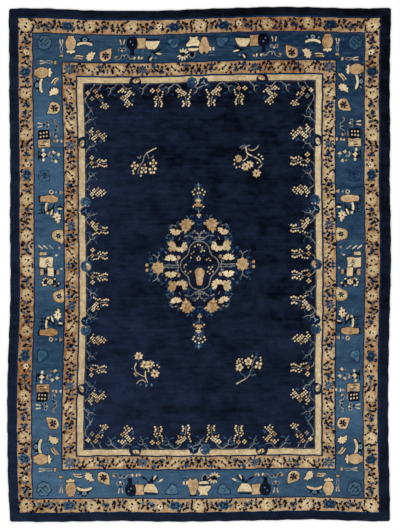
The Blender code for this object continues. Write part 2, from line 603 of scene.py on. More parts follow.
def maple_leaf(pen):
    pen.plate("cream", ((-42, -18), (-20, -8), (-14, -26), (0, -12), (16, -34), (20, -12), (38, -14),
                        (28, 2), (40, 18), (18, 18), (10, 34), (-2, 18), (-18, 24), (-16, 6), (-34, 4)))
    pen.stroke("tan", ((-14, 0), (4, 2), (22, 6)), 4)
    pen.disc("ink", 2, -2, 8, 5, 30)


def round_fan(pen):
    pen.body("tan", ((-50, 40), (-42, 6), (-28, -26), (0, -38), (28, -28), (40, 2), (36, 40)))
    pen.shape("straw", ((-36, 38), (-32, 8), (-20, -16), (0, -26), (20, -18), (28, 4), (26, 38)))
    for turn in range(20, 380, 60):
        pen.leaf("ink", -2, 8, turn, 25, 11)
    pen.disc("pale", -2, 8, 5)


def streamers(pen):
    for height, yarn in ((-64, "cream"), (-29, "cream"), (12, "ash")):
        pen.stroke(yarn, ((14, height - 14), (2, height), (-10, height + 14)), 10, 6)
    pen.shape("tan", ((-12, 62), (12, 64), (0, 84)), smooth=False)


def book_bars(pen):
    pen.plate("straw", ((-12, -66), (11, -66), (11, -18), (-11, -18)))
    pen.stroke("gold", ((-8, -42), (8, -42)), 6)
    pen.stroke("royal", ((-14, -4), (-8, 24)), 8)
    pen.leaf("cream", -11, 44, 90, 22, 11)
    pen.stroke("pale", ((-2, 58), (0, 76)), 5)


def cream_pot(pen):
    pen.plate("cream", ((-34, -52), (-38, -8), (-24, 6), (-38, 38), (34, 46), (36, 14), (30, -18),
                        (36, -52)))
    pen.stroke("pale", ((-14, -14), (0, 4), (-12, 22)), 7)
    pen.stroke("ink", ((12, -12), (-2, 2), (14, 14)), 6)
    pen.disc("royal", -18, 4, 6)
    pen.disc("ink", 16, 2, 5)


def stacked_boxes(pen):
    pen.plate("tan", ((-24, -68), (20, -68), (18, -44), (-22, -44)))
    pen.shape("ink", ((-26, -40), (22, -40), (8, -28), (24, -10), (-28, -10), (-8, -28)), smooth=False)
    pen.plate("cream", ((-30, -14), (30, -14), (28, 28), (-32, 28)))
    pen.shape("ink", ((-12, 32), (12, 32), (20, 48), (-20, 48)), smooth=False)
    pen.shape("tan", ((-18, 52), (16, 52), (14, 68), (-16, 68)), smooth=False)
    pen.disc("cream", 24, 86, 7)


def mixed_flowers(pen):
    petals(pen, "cream", [(out.real, out.imag) for out in (16 * spin(60 * petal) for petal in range(6))],
           6.5)
    pen.disc("tan", 0, 0, 8)
    pen.disc("ink", -2, -36, 11)
    petals(pen, "cream", ((24, -31), (15, -46), (-6, -52), (-24, -46), (-27, -31), (21, 34), (-9, 62)), 7)
    petals(pen, "tan", ((-28, 32), (20, -18)), 7)
    petals(pen, "ink", ((2, 34), (-26, 54)), 5)


def brush_pot(pen):
    pen.plate("cream", ((-30, -58), (-10, -50), (10, -50), (30, -58), (24, -36), (56, 2), (50, 12),
                        (-50, 12), (-56, 2), (-24, -36)))
    pen.stroke("tan", ((-34, -6), (0, -16), (34, -6)), 5)
    pen.stroke("royal", ((-46, 20), (0, 13), (46, 20)), 9)
    pen.plate("cream", both_sides(((44, 27), (30, 42), (10, 46))))
    pen.stroke("tan", ((0, 30), (0, 44)), 5)


def daisy(pen):
    """Petals most of the way round a dark heart."""
    pen.disc("ink", 0, 0, 26)
    for petal in range(10):
        out = spin(31 * petal + 20) * 14
        pen.leaf("cream", out.real, out.imag, 31 * petal + 20, 32, 11)
    pen.disc("ink", -8, -4, 11)


def crescent(pen):
    pen.disc("ink", 0, 2, 16, 19)
    pen.stroke("ash", ((20, -12), (20, 8), (12, 24), (-4, 26), (-18, 12), (-18, -8)), 6)
    pen.stroke("ink", ((22, -12), (34, -4), (46, 6)), 12)


def tall_vase(pen):
    pen.stroke("ink", ((-24, -68), (24, -68)), 12)
    pen.body("tan", both_sides(((14, -60), (24, -30), (37, 6), (36, 34), (20, 58), (6, 42))))
    pen.stroke("gold", ((0, -44), (-2, 20)), 6)


def cup_on_stand(pen):
    pen.shape("cream", ((-20, -22), (-4, -22), (-6, 2), (-16, 2)), smooth=False)
    pen.shape("cream", ((4, -22), (20, -22), (16, 2), (6, 2)), smooth=False)
    pen.stroke("pale", ((0, 8), (0, 20)), 6)
    pen.disc("royal", 0, 24, 14, 5)
    pen.stroke("pale", ((-18, 38), (0, 32), (18, 38)), 5)


Place = namedtuple("Place", "motif along inwards turn", defaults=(0,))
# From the middle of an end to its corner, or on both sides of the middle
END_MOTIFS = (
    Place(cartouche, 188, -32), Place(bowl, 340, -22), Place(square_vase, 418, -30),
    Place(buds, 440, 68), Place(dark_vase, 486, -20), Place(cloud_scroll, 540, 60),
    Place(rods_and_knot, 558, 2), Place(figured_fan, 680, 48), Place(jagged_leaf, 780, 56, 20),
    Place(altar_table, 826, -46), Place(twin_scroll, 868, 62), Place(round_vase, 926, -20),
    Place(tassel, 994, 6), Place(corner_roundel, 1116, -28),
)
END_MIDDLE = (
    Place(brush_pot, 42, -20), Place(daisy, 118, 48), Place(crescent, 52, 48), Place(tall_vase, -34, -10),
    Place(cup_on_stand, -88, 26),
)
SIDE_MOTIFS = (
    Place(round_fan, 222, 60), Place(maple_leaf, 355, 60, -20),
    Place(lattice_table, 428, -22), Place(leaf_fan, 412, 44, 30), Place(long_vase, 490, 2),
    Place(small_trio, 540, 50), Place(blossom_knot, 788, 44),
    Place(cross_stand, 800, -38), Place(figured_pot, 885, -32), Place(buds, 906, 66, 90),
    Place(chest, 950, -34), Place(cloud_scroll, 1004, 54, 180), Place(rods_and_knot, 1022, -12),
    Place(figured_fan, 1150, 44), Place(jagged_leaf, 1262, 46, 30), Place(altar_table, 1314, -62),
    Place(twin_scroll, 1346, 50, 40), Place(round_vase, 1400, -32), Place(tassel, 1474, 4),
)
SIDE_MIDDLE = (
    Place(streamers, 130, 2), Place(book_bars, 87, -4), Place(cream_pot, 24, -18),
    Place(stacked_boxes, -44, 0),
    Place(mixed_flowers, -116, 4),
)


# The weaver kept no exact half: how far the motifs of each half of a side stand off the table's
# places, at distances from the side's middle. The first half is the one that its pen draws. The
# shifts were measured against the photograph and rounded.
END_STATIONS = (100, 300, 500, 700, 900, 1100)
SIDE_STATIONS = (100, 300, 500, 800, 1050, 1200, 1450)
HalfShifts = namedtuple("HalfShifts", "stations first second")
MOTIF_SHIFTS = {
    "head": HalfShifts(END_STATIONS, (-4, -4, -10, -13, -11, -6), (-20, -27, -24, -18, -11, 2)),
    "foot": HalfShifts(END_STATIONS, (-10, -10, -10, 0, 4, 2), (8, 10, 8, 4, -4, 0)),
    "right": HalfShifts(SIDE_STATIONS, (0, 6, -10, -4, 0, 4, 9), (0, -18, -22, -11, -12, -20, -10)),
    "left": HalfShifts(SIDE_STATIONS, (0, -4, -11, 0, -11, -18, -5), (-4, -6, -11, -5, -12, -18, -12)),
}


def draw_places(pen, places, stations=(0,), shifts=(0,), size=1.0):
    for place in places:
        along = place.along + np.interp(place.along, stations, shifts)
        place.motif(pen.at(along, place.inwards, place.turn, size))


def draw_main_border(chart):
    for name, pen in side_pens(chart, "main"):
        other = pen.halves()[1]
        stations, first, second = MOTIF_SHIFTS[name]
        if name in ENDS:
            tuft = Place(leaf_fan, 322, 46) if name == "head" else Place(leaf_tuft, 318, 8)
            draw_places(pen, END_MOTIFS + END_MIDDLE + (tuft,), stations, first)
            draw_places(other, END_MOTIFS + (tuft,), stations, second)
        else:
            draw_places(pen, SIDE_MOTIFS, stations, first)
            draw_places(other, SIDE_MOTIFS, stations, second)
            headwards, footwards = (pen, other) if name == "right" else (other, pen)
            draw_places(headwards, SIDE_MIDDLE)
            fret_square(headwards.at(648, -38))
            cartouche(footwards.at(648, -38))


# Motifs of the two gold guards, whose vines run between them


def leaf_spray(pen):
    """Five bold leaves on a thin stem."""
    pen.stroke("ink", ((-34, -8), (-10, 2), (12, -4), (36, 8)), 4)
    for x, y, angle, yarn in ((-26, -4, 118, "ink"), (-24, -8, -104, "ink"), (-2, 4, 78, "blue"),
                              (4, -6, -62, "ink"), (22, 4, 56, "ink"), (28, -2, -28, "royal")):
        pen.leaf(yarn, x, y, angle, 28, 16)


def sprig(pen):
    pen.stroke("ink", ((-26, 10), (0, 0), (24, 6)), 4)
    for x, y, angle, yarn in ((-18, 8, 104, "ink"), (-14, 2, -96, "blue"), (10, 0, 62, "ink"),
                              (16, 2, -44, "ink")):
        pen.leaf(yarn, x, y, angle, 26, 15)


STAR_LEAVES = (
    (-34, -2, 140), (-22, -12, -110), (-12, 8, 84), (-2, -6, -70), (8, 8, 52), (20, 10, 110),
    (20, -10, -60), (34, -2, 30),
    (38, -12, -100),
)


def ink_star(pen):
    """A thin stem with short leaves scattered about it, one of them blue."""
    pen.stroke("ink", ((-34, -6), (0, 2), (36, -4)), 4)
    for leaf, (x, y, turn) in enumerate(STAR_LEAVES):
        pen.leaf("blue" if leaf == 2 else "ink", x, y, turn, 23, 14)


def leaf_trio(pen):
    pen.disc("pale", 0, 0, 6)
    pen.leaves("ink", 22, 14, ((-5, -4, 205), (0, -8, -80), (6, -2, -10)))


def cream_bloom(pen):
    """A ruffled flower that nearly fills the outer guard."""
    pen.disc("gold", 0, 0, 44, 41)
    for petal in range(10):
        out = spin(36 * petal + 10)
        pen.disc("straw", out.real * 27, out.imag * 26, 14, 6.5, 36 * petal + 10)
    pen.disc("straw", 0, 0, 13)
    pen.leaf("ink", -8, 4, 30, 26, 14)
    pen.leaf("ink", 6, -4, -70, 16, 10)
    pen.leaves("ink", 24, 13, ((-42, 8, 70), (-46, -10, -80), (38, -24, -50), (40, 18, 60),
                               (-14, 34, 150), (18, -34, -30)))


def sun_bloom(pen):
    """A flower of thin rays, with a leaf over its heart."""
    pen.disc("gold", 0, 0, 38, 38)
    for ray in range(11):
        out = spin(360 * ray / 11) * 8
        pen.leaf("straw", out.real, out.imag, 360 * ray / 11, 28, 11)
    pen.leaf("ink", -6, -4, 70, 24, 14)
    pen.leaf("ink", 4, -4, -20, 18, 11)
    pen.leaves("ink", 24, 13, ((30, -26, 130), (-34, 22, -40)))


def small_bloom(pen):
    for petal in range(6):
        out = spin(60 * petal + 20) * 13
        pen.disc("cream", out.real, out.imag, 9, 6, 60 * petal + 20)
    pen.leaf("ink", -8, 0, 30, 18, 11)


def peony(pen):
    pen.discs("blue", ((0, 0, 30, 26), (-28, 6, 16, 15), (28, -4, 15, 17), (-16, -20, 15, 12),
                       (16, 20, 16, 12), (14, -22, 13, 11), (-14, 22, 13, 11)))
    pen.strokes("ink", 7, (((-26, 12), (-10, 20), (6, 10)), ((0, -4), (14, 8), (28, -2)),
                           ((-20, -8), (-6, -18), (8, -12)), ((12, 22), (20, 14), (30, 16))))
    pen.disc("royal", -22, -2, 10, 8)
    pen.disc("royal", 18, -14, 9, 8)
    pen.disc("sky", -4, 2, 6)


def star(pen):
    for petal in range(7):
        pen.leaf("blue" if petal % 3 else "ink", 0, 0, 51.4 * petal, 25, 11)
    pen.disc("ink", 0, 0, 6)


def blue_cross(pen):
    for petal in range(4):
        pen.leaf("blue", 0, 0, 90 * petal, 23, 13)
    pen.disc("royal", 0, 0, 6)


def rosette(pen):
    for petal in range(8):
        out = spin(45 * petal)
        pen.disc("blue", out.real * 23, out.imag * 23, 11, 7, 45 * petal)
    pen.ring("royal", 0, 0, 11, 5)
    pen.disc("sky", 0, 0, 6)
    pen.disc("ink", -30, 26, 9, 6)


OUTER_END = (
    Place(cream_bloom, 6, 0), Place(leaf_spray, 88, 0), Place(peony, 175, 0), Place(sprig, 239, 6),
    Place(small_bloom, 283, -8), Place(star, 338, 2), Place(leaf_spray, 404, 0), Place(cream_bloom, 482, 0),
    Place(leaf_spray, 582, 0, 180), Place(star, 668, 0), Place(sprig, 712, 12), Place(cream_bloom, 774, -6),
    Place(sprig, 838, 0), Place(peony, 936, 0), Place(leaf_spray, 1022, 0), Place(star, 1094, 4),
    Place(leaf_spray, 1160, 0),
)
OUTER_SIDE = (
    Place(cream_bloom, 34, 0), Place(star, 106, 0), Place(leaf_spray, 150, 0, 90),
    Place(cream_bloom, 208, 0),
    Place(sprig, 284, 0), Place(leaf_spray, 344, 0, 180), Place(star, 402, 4), Place(cream_bloom, 474, 0),
    Place(sprig, 552, -6), Place(peony, 650, 0, 20), Place(small_bloom, 724, 6), Place(star, 800, 0),
    Place(leaf_spray, 858, 0, 90), Place(cream_bloom, 934, 0), Place(leaf_spray, 1030, 0),
    Place(star, 1096, -6),
    Place(star, 1160, 6), Place(cream_bloom, 1236, 0), Place(leaf_spray, 1310, 0), Place(peony, 1392, 0, 90),
    Place(leaf_spray, 1480, 0), Place(small_bloom, 1530, 8), Place(sprig, 1576, 0), Place(star, 1620, 4),
    Place(leaf_spray, 1668, 0, 90),
)
INNER_END = (
    Place(ink_star, 37, 0), Place(blue_cross, 92, -22), Place(leaf_trio, 92, 20), Place(sun_bloom, 170, 0),
    Place(ink_star, 262, 0), Place(blue_cross, 318, -20), Place(leaf_trio, 308, 20), Place(rosette, 402, 0),
    Place(ink_star, 482, 0), Place(sun_bloom, 568, 0), Place(ink_star, 662, 0), Place(blue_cross, 712, -18),
    Place(leaf_trio, 706, 20), Place(sun_bloom, 786, 0), Place(leaf_spray, 860, 0),
)
INNER_SIDE = (
    Place(blue_cross, 12, -20), Place(leaf_trio, 14, 22), Place(sun_bloom, 86, 0), Place(ink_star, 170, 0),
    Place(blue_cross, 222, -20), Place(leaf_trio, 222, 20), Place(rosette, 290, 0), Place(ink_star, 368, 0),
    Place(sun_bloom, 440, 0), Place(ink_star, 532, 0), Place(blue_cross, 586, -20),
    Place(leaf_trio, 584, 20),
    Place(sun_bloom, 652, 0), Place(ink_star, 740, 0), Place(star, 800, 0), Place(rosette, 866, 0),
    Place(ink_star, 944, 0), Place(sun_bloom, 1018, 0), Place(ink_star, 1104, 0),
    Place(blue_cross, 1158, -18),
    Place(leaf_trio, 1152, 22), Place(sun_bloom, 1240, 0), Place(leaf_spray, 1322, 0, 90),
)
VINE_SWING = 24.0
VINE_LENGTH = 176.0
VINE_YARNS = ("ink", "ink", "blue", "ink")
VINE_TURNS = (62, 118, 84, 40, 135, 100, 72)
VINE_STEPS = 7  # on the stem for each length of its swing
VINE_LEAF = (25, 15)  # long and wide


def vine(pen, start, end):
    """A stem that swings from side to side of its band, with leaves on both sides."""
    steps = round((end - start) / (VINE_LENGTH / VINE_STEPS))
    run = np.linspace(start, end, steps + 1)
    swing = VINE_SWING * np.sin(math.tau * run / VINE_LENGTH)
    for index in range(0, steps - 1, 2):
        pen.stroke("ink", list(zip(run[index:index + 3], swing[index:index + 3])), 4.5)
    for index, (x, y) in enumerate(zip(run, swing)):
        yarn = VINE_YARNS[index % len(VINE_YARNS)]
        pen.leaf(yarn, x, y * 0.7 + 8, VINE_TURNS[index % len(VINE_TURNS)], *VINE_LEAF)
        pen.leaf("ink", x + 10, y * 0.7 - 10, -VINE_TURNS[(index + 2) % len(VINE_TURNS)], *VINE_LEAF)


# How far each guard's vine runs from the middle of an end, and of a side, with the blooms on it
Guard = namedtuple("Guard", "line end_reach side_reach end_places side_places")
GUARDS = (
    Guard("outer", 1190, 1690, OUTER_END, OUTER_SIDE),
    Guard("inner", 880, 1350, INNER_END, INNER_SIDE),
)


def draw_guards(chart):
    for guard in GUARDS:
        for name, pen in side_pens(chart, guard.line):
            at_end = name in ENDS
            for half in pen.halves():
                vine(half, 0, guard.end_reach if at_end else guard.side_reach)
                draw_places(half, guard.end_places if at_end else guard.side_places)


def corners(chart, line):
    """A pen at each corner of a border's line. Its x runs across the rug and y along it, inwards."""
    for x, across in ((-1, SIDES["left"]), (1, SIDES["right"])):
        for y, along in ((-1, SIDES["foot"]), (1, SIDES["head"])):
            place = complex(x * (HALF_WIDTH - getattr(across, line)),
                            y * (HALF_LENGTH - getattr(along, line)))
            yield Pen(chart, place, complex(-x), mirrored=x != y)


def draw_corners(chart):
    for pen in corners(chart, "outer"):
        cream_bloom(pen.at(0, 0, size=1.15))
    for pen in corners(chart, "inner"):
        rosette(pen.at(0, 0, size=1.25))


# The cream band's roundels, and the blossoms that hang from it into the field

BLOSSOM_ARM = 11.0  # from a blossom's eye to the middle of each petal
BLOSSOM_PETAL = 6.0
# The petals' rim of ink: partly their dark outline, partly painted shade
PETAL_SHADE_RIM = 6.5
STRAND_STEP = 15.5
STRAND_SWING = 3.0
STRAND_PETAL = 6.8


def petals(pen, yarn, spots, radius=BLOSSOM_PETAL):
    """Round petals, each with a dark rim that shows on whatever lies beside it: partly an outline, partly
    painted shade.
    """
    for x, y in spots:
        pen.disc("ink", x, y, radius + PETAL_SHADE_RIM)
    for x, y in spots:
        pen.disc(yarn, x, y, radius)


def blossoms(pen, eyes, yarn="cream", heart=None):
    """Flowers of four petals about each eye. Neighbours share petals, as a checker does."""
    spots = []
    for x, y in eyes:
        spots += [(x - BLOSSOM_ARM, y), (x + BLOSSOM_ARM, y), (x, y - BLOSSOM_ARM), (x, y + BLOSSOM_ARM)]
    petals(pen, yarn, spots)
    if heart:
        for x, y in eyes:
            pen.disc(heart, x, y, 3.6)


def strand(pen, x, low, high, lean=0.0):
    """Petals in a hanging row, to the left and the right of it in turn."""
    count = round((high - low) / STRAND_STEP) + 1
    petals(pen, "cream", [(x + lean * index + STRAND_SWING * (-1) ** index, low + STRAND_STEP * index)
                          for index in range(count)], STRAND_PETAL)


def leaf_pair(pen, x, y, turn):
    pen.leaf("blue", x, y, turn, 28, 12)
    pen.leaf("blue", x, y, turn + 64, 22, 10)


def long_bunch(pen):
    pen.stroke("ash", ((-46, 2), (-24, 14), (-10, 40), (-8, 76), (-12, 114), (-12, 158)), 5.5)
    leaf_pair(pen, -2, 82, 30)
    leaf_pair(pen, -34, 40, 150)
    blossoms(pen, ((30, 48),))
    blossoms(pen, ((-12, 46),), "tan", "royal")
    petals(pen, "cream", ((-43, 58), (-41, 76), (-36, 93), (-21, 100), (6, 92), (18, 106), (-2, 112),
                          (-24, 116)))
    strand(pen, -34, 130, 166)
    strand(pen, 8, 128, 164)


def checked_bunch(pen):
    pen.stroke("ash", ((52, 6), (34, 14), (18, 34), (-4, 70), (-20, 120), (-22, 162)), 5.5)
    leaf_pair(pen, -2, 108, 20)
    leaf_pair(pen, -30, 24, 160)
    blossoms(pen, ((36, 50), (12, 58), (-10, 76)))
    petals(pen, "cream", ((-57, 54), (-50, 70), (-41, 86), (-48, 103), (-36, 117), (12, 88)))
    petals(pen, "tan", ((28, 82), (33, 96)))
    strand(pen, -42, 136, 168)
    strand(pen, -2, 132, 164)


def slanting_bunch(pen):
    pen.stroke("ash", ((24, 4), (4, 26), (-18, 34), (-60, 22)), 5)
    pen.stroke("ash", ((0, 32), (-22, 78), (-12, 120), (-8, 150)), 5)
    leaf_pair(pen, 26, 70, 190)
    leaf_pair(pen, -42, 116, 150)
    petals(pen, "cream", ((48, 56),))
    blossoms(pen, ((22, 46), (-32, 62), (-12, 86)))
    blossoms(pen, ((20, 100),), "tan", "royal")
    blossoms(pen, ((-2, 116), (-24, 138)))
    petals(pen, "cream", ((-58, 76), (6, 148), (-12, 162), (-46, 148), (0, 56), (-4, 132)))


def leafy_bunch(pen):
    pen.stroke("ash", ((34, 4), (12, 34), (-4, 66), (4, 150)), 5)
    pen.leaves("blue", 32, 13, ((10, 30, 170), (16, 92, 60), (-8, 96, 150), (4, 142, 80), (-20, 60, 200),
                                (30, 20, 20)))
    blossoms(pen, ((-12, 48), (16, 66)))
    blossoms(pen, ((26, 96),), "tan", "royal")
    blossoms(pen, ((-12, 92), (8, 116)))
    petals(pen, "cream", ((-40, 56), (-22, 124), (2, 150), (-10, 140), (20, 140)))


def forked_twig(pen):
    pen.stroke("ash", ((-38, 2), (-14, 20), (2, 34), (6, 60)), 5.5)
    pen.stroke("ash", ((2, 34), (28, 24)), 5)
    pen.stroke("blue", ((6, 60), (-12, 78)), 5)
    pen.stroke("ash", ((6, 60), (22, 74)), 5)
    pen.leaves("blue", 23, 11, ((-20, 14, 110), (12, 50, 20), (26, 26, 40), (-12, 76, 160), (0, 40, 190),
                                (20, 70, 70)))


def corner_bunch(pen):
    pen.stroke("ash", ((74, 4), (62, 30), (40, 56), (20, 84), (8, 112), (18, 150), (44, 186), (60, 214)),
               5.5)
    pen.stroke("ash", ((122, 6), (108, 34), (84, 52)), 5.5)
    pen.stroke("ash", ((98, 100), (116, 122), (140, 146)), 5.5)
    pen.stroke("ash", ((44, 190), (30, 214), (8, 232)), 5)
    pen.leaves("blue", 27, 12, ((70, 24, 160), (20, 78, 60), (60, 104, 100), (118, 112, 20),
                                (14, 140, 50), (30, 170, 10), (104, 30, 50), (52, 206, 60),
                                (36, 206, 150)))
    blossoms(pen, ((28, 66),), "cream", "tan")
    blossoms(pen, ((82, 54),), "tan", "ink")
    blossoms(pen, ((96, 88),), "tan", "ink")
    blossoms(pen, ((56, 108),), "ash")
    blossoms(pen, ((138, 158),))
    petals(pen, "cream", ((122, 82), (130, 96), (118, 166), (130, 136), (156, 144), (154, 174), (168, 160)))


def swirl_roundel(pen):
    pen.disc("navy", 0, 0, 44)
    pen.ring("royal", 0, 0, 40, 6)
    pen.disc("tan", -6, -12, 26, 15, 20)
    pen.disc("cream", -10, -6, 15, 8, 10)
    pen.stroke("ink", ((-12, -26), (-2, -14), (-4, -2)), 6)
    pen.stroke("blue", ((-24, 20), (0, 28), (24, 18)), 6)


def blue_roundel(pen):
    pen.flower("blue", 0, 0, 39, 8, 0.1)
    pen.stroke("royal", ((-26, 12), (-10, 26), (12, 22), (22, 4), (10, -14), (-8, -12)), 7)
    pen.stroke("sky", ((-18, -20), (2, -28), (22, -18)), 7)
    pen.disc("cream", -24, -2, 6, 5)
    pen.stroke("ash", ((-32, 16), (-24, 26)), 6)
    pen.disc("sky", 0, 2, 6)


def tan_roundel(pen):
    pen.flower("blue", 0, 0, 42, 8, 0.1)
    pen.disc("tan", 4, 16, 22, 17, 20)
    pen.disc("cream", -16, 10, 9, 7, 60)
    pen.disc("ink", -2, 2, 6)
    pen.stroke("royal", ((-30, -14), (-14, -26), (8, -26)), 7)
    pen.stroke("sky", ((-32, 6), (-28, 20), (-14, 30)), 6)


def dark_roundel(pen):
    pen.flower("royal", 0, 0, 36, 8, 0.12)
    pen.disc("ink", 0, 0, 22)
    for petal in range(3):
        pen.leaf("pale", 0, 0, 20 + 120 * petal, 22, 10)
    pen.stroke("ash", ((-28, 14), (-14, 24)), 6)


FIELD_END = (
    Place(checked_bunch, 112, 0), Place(long_bunch, 300, 0), Place(slanting_bunch, 524, 0),
    Place(forked_twig, 210, 0), Place(forked_twig, 398, 0, 6), Place(forked_twig, 622, 0),
)
FIELD_SIDE = (
    Place(long_bunch, 88, 0), Place(checked_bunch, 280, 0), Place(leafy_bunch, 531, 0),
    Place(long_bunch, 755, 0),
    Place(slanting_bunch, 952, 0), Place(forked_twig, 190, 0), Place(forked_twig, 640, 0, -8),
    Place(forked_twig, 860, 0), Place(forked_twig, 1060, 0, 8), Place(forked_twig, 372, 0, 10),
)
BAND_END = (Place(swirl_roundel, 454, -12),)
BAND_SIDE = (Place(swirl_roundel, 892, -12), Place(blue_roundel, 464, -4), Place(dark_roundel, 396, -4))


FRIEZE_SIZES = {"foot": 1.0, "right": 1.04, "head": 1.0, "left": 0.92}


def draw_frieze(chart):
    for name, pen in side_pens(chart, "field"):
        at_end = name in ENDS
        for half in pen.halves():
            draw_places(half, FIELD_END if at_end else FIELD_SIDE, size=FRIEZE_SIZES[name])
            draw_places(half, BAND_END if at_end else BAND_SIDE)
        if at_end:
            blue_roundel(pen.at(48, -4))
            dark_roundel(pen.at(-34, -4))
            pen.stroke("cream", ((12, -22), (6, -6), (10, 10)), 6)
            forked_twig(pen.at(0, 8, -10))
        else:
            tan_roundel(pen.at(0, -4))
    for pen in corners(chart, "field"):
        corner_bunch(pen)


# The four sprays in the field


def big_blossom(pen, x, y, radius, yarn="cream", count=5, turn=0):
    """A loose flower of separate round petals about a small heart."""
    ring = [spin(turn + 360 * petal / count) * radius * 0.6 for petal in range(count)]
    petals(pen, yarn, [(x + out.real, y + out.imag) for out in ring], radius * 0.31)
    pen.disc("tan" if yarn == "cream" else "cream", x, y, radius * 0.17)


def star_flower(pen, x, y, radius, turn=0):
    """A tan flower of many pointed petals with lighter tips and a dark eye."""
    pen.disc("ink", x, y, radius * 0.8)
    for petal in range(7):
        yarn = "tan" if petal % 2 else "cream"
        pen.leaf(yarn, x, y, turn + 51.4 * petal, radius, radius * 0.46)
    pen.disc("tan", x, y, radius * 0.36)
    pen.disc("ink", x, y, radius * 0.16 + 1)


def upper_left_spray(pen):
    pen.discs("royal", ((-92, 83, 22, 14), (-98, 28, 14, 10), (2, 12, 11, 11)))
    pen.stroke("cream", ((72, 112), (25, 88), (2, 72)), 7, 6)
    pen.stroke("ash", ((2, 72), (-16, 47), (-24, 12), (-34, 0), (-47, -29), (-58, -56), (-60, -76)), 6, 5)
    pen.strokes("ash", 5, (((7, 72), (14, 52), (18, 34)), ((-65, 50), (-48, 38), (-38, 56)),
                           ((36, 38), (46, 44), (54, 56)), ((-26, 8), (-40, -4), (-62, -14)),
                           ((46, -10), (46, -30), (44, -52))))
    petals(pen, "cream", ((-85, 5), (-100, -16), (-63, -15), (-79, -35), (52, 21), (30, 0), (69, 3),
                          (52, -18)), 9)
    petals(pen, "cream", ((27, -42), (66, -38), (34, -66), (56, -66), (-27, -34), (-2, -34), (-34, -61),
                          (-4, -61)), 9)
    petals(pen, "tan", ((-94, -52), (-94, -72), (50, 2), (-11, -11)), 8)
    petals(pen, "straw", ((-40, -88), (-81, -15), (-18, -47)), 7)


def upper_right_spray(pen):
    pen.stroke("straw", ((56, 98), (34, 74), (6, 64), (-20, 74)), 7, 5)
    pen.stroke("ash", ((-78, 84), (-58, 96), (-34, 94), (-8, 102)), 6)
    pen.stroke("ash", ((-66, 74), (-46, 84)), 5)
    pen.stroke("cream", ((-36, 86), (-29, 50), (0, 29), (36, 11), (65, -11), (76, -43), (58, -62)), 8, 6)
    pen.stroke("cream", ((-25, 32), (-29, 11), (-58, -14)), 5)
    pen.flower("tan", -90, 4, 27, 7, 0.25)
    pen.stroke("gold", ((-104, 10), (-92, 18), (-78, 8)), 6)
    pen.disc("ash", -86, 0, 6)
    pen.stroke("ink", ((-100, -4), (-92, 2), (-90, 12)), 5)
    star_flower(pen, -40, -54, 31)
    star_flower(pen, -10, -38, 31, 25)
    star_flower(pen, 42, -102, 33, 10)
    petals(pen, "cream", ((-119, -4), (-119, -32), (-104, -58), (-81, -54), (58, 32), (79, 18), (86, 0),
                          (47, -26)), 6)
    pen.leaves("blue", 26, 12, ((-40, 94, 120), (40, 96, 20), (-56, -14, 240), (70, -30, -20),
                                (12, 24, -60)))


def lower_left_spray(pen):
    pen.stroke("cream", ((-79, 54), (-90, 22), (-76, -11), (-43, -32), (-14, -43)), 7, 5)
    pen.stroke("cream", ((-72, -94), (-50, -72), (-25, -68), (-7, -86)), 5)
    pen.stroke("cream", ((-11, -2), (-7, -50), (7, -86)), 7, 5)
    star_flower(pen, -61, 106, 33, 15)
    star_flower(pen, -18, 43, 34)
    star_flower(pen, 22, 48, 32, 30)
    star_flower(pen, 58, -18, 34, 10)
    petals(pen, "cream", ((-88, -20), (-80, -32), (11, -2), (72, 43), (86, 29), (50, 40), (10, 14)), 5.5)
    for x, y, turn in ((-30, -96, 200), (2, -94, 250), (30, -90, 300), (-94, 10, 160), (74, 44, 60),
                       (-60, -30, 230)):
        pen.leaf("pale" if turn > 240 else "blue", x, y, turn, 24, 11)


def lower_right_spray(pen):
    pen.discs("royal", ((-76, -44, 18, 12), (44, -44, 18, 14), (66, -70, 14, 14), (-10, -20, 13, 11)))
    pen.stroke("cream", ((-79, -100), (-50, -82), (-22, -68)), 8, 6)
    pen.stroke("ash", ((-22, -68), (-2, -52), (14, -29), (25, 4), (43, 22)), 6, 5)
    pen.strokes("ash", 5, (((-22, -68), (-22, -43), (-43, -29), (-58, -11)),
                           ((29, 25), (40, 65), (58, 97)), ((16, -34), (34, -38), (58, -34))))
    big_blossom(pen, -61, 18, 31)
    big_blossom(pen, 4, 60, 32, "cream", 5, 18)
    big_blossom(pen, 76, 29, 32, "cream", 4, 30)
    petals(pen, "cream", ((-76, 65), (-65, 79), (-43, 77), (-78, 48), (-36, 52), (31, 99), (90, 83),
                          (92, 64), (4, 18)), 6)
    pen.disc("tan", -58, 62, 9)
    pen.leaves("blue", 26, 12, ((-50, -78, 200), (10, -34, -20), (30, 0, -30), (50, 80, 20),
                                (-30, -40, 150), (60, 100, 70)))


SPRAYS = (
    Place(upper_left_spray, -383, 743), Place(upper_right_spray, 373, 757),
    Place(lower_left_spray, -376, -755), Place(lower_right_spray, 351, -755),
)


# The medallion. Its quarters mirror each other, but for the yarns and turns of some flowers.


THICKET_SEED = 11
THICKET_LEAVES = 230  # in a quarter of the medallion
# How far the medallion's leaves reach from its middle, at angles from its side to its tip
THICKET_ANGLES = (0, 8, 17, 22, 30, 40, 50, 60, 75, 90)
THICKET_REACH = (400, 400, 385, 325, 300, 320, 350, 375, 390, 385)
THICKET_RIM = 30.0  # kept clear inside that reach
THICKET_CORE = 190.0  # the least distance of a leaf's foot from the middle is this less the rim
THICKET_CROWDING = 1.5  # above 1, leaves crowd towards the rim
THICKET_LEAN = 80.0  # degrees, to either side of straight outwards
THICKET_LEAF_LENGTHS = (24, 34)
THICKET_LEAF_WIDTH = 11.0
THICKET_YARNS = ("blue", "royal", "ink", "sky", "royal", "blue", "ink", "blue", "royal")


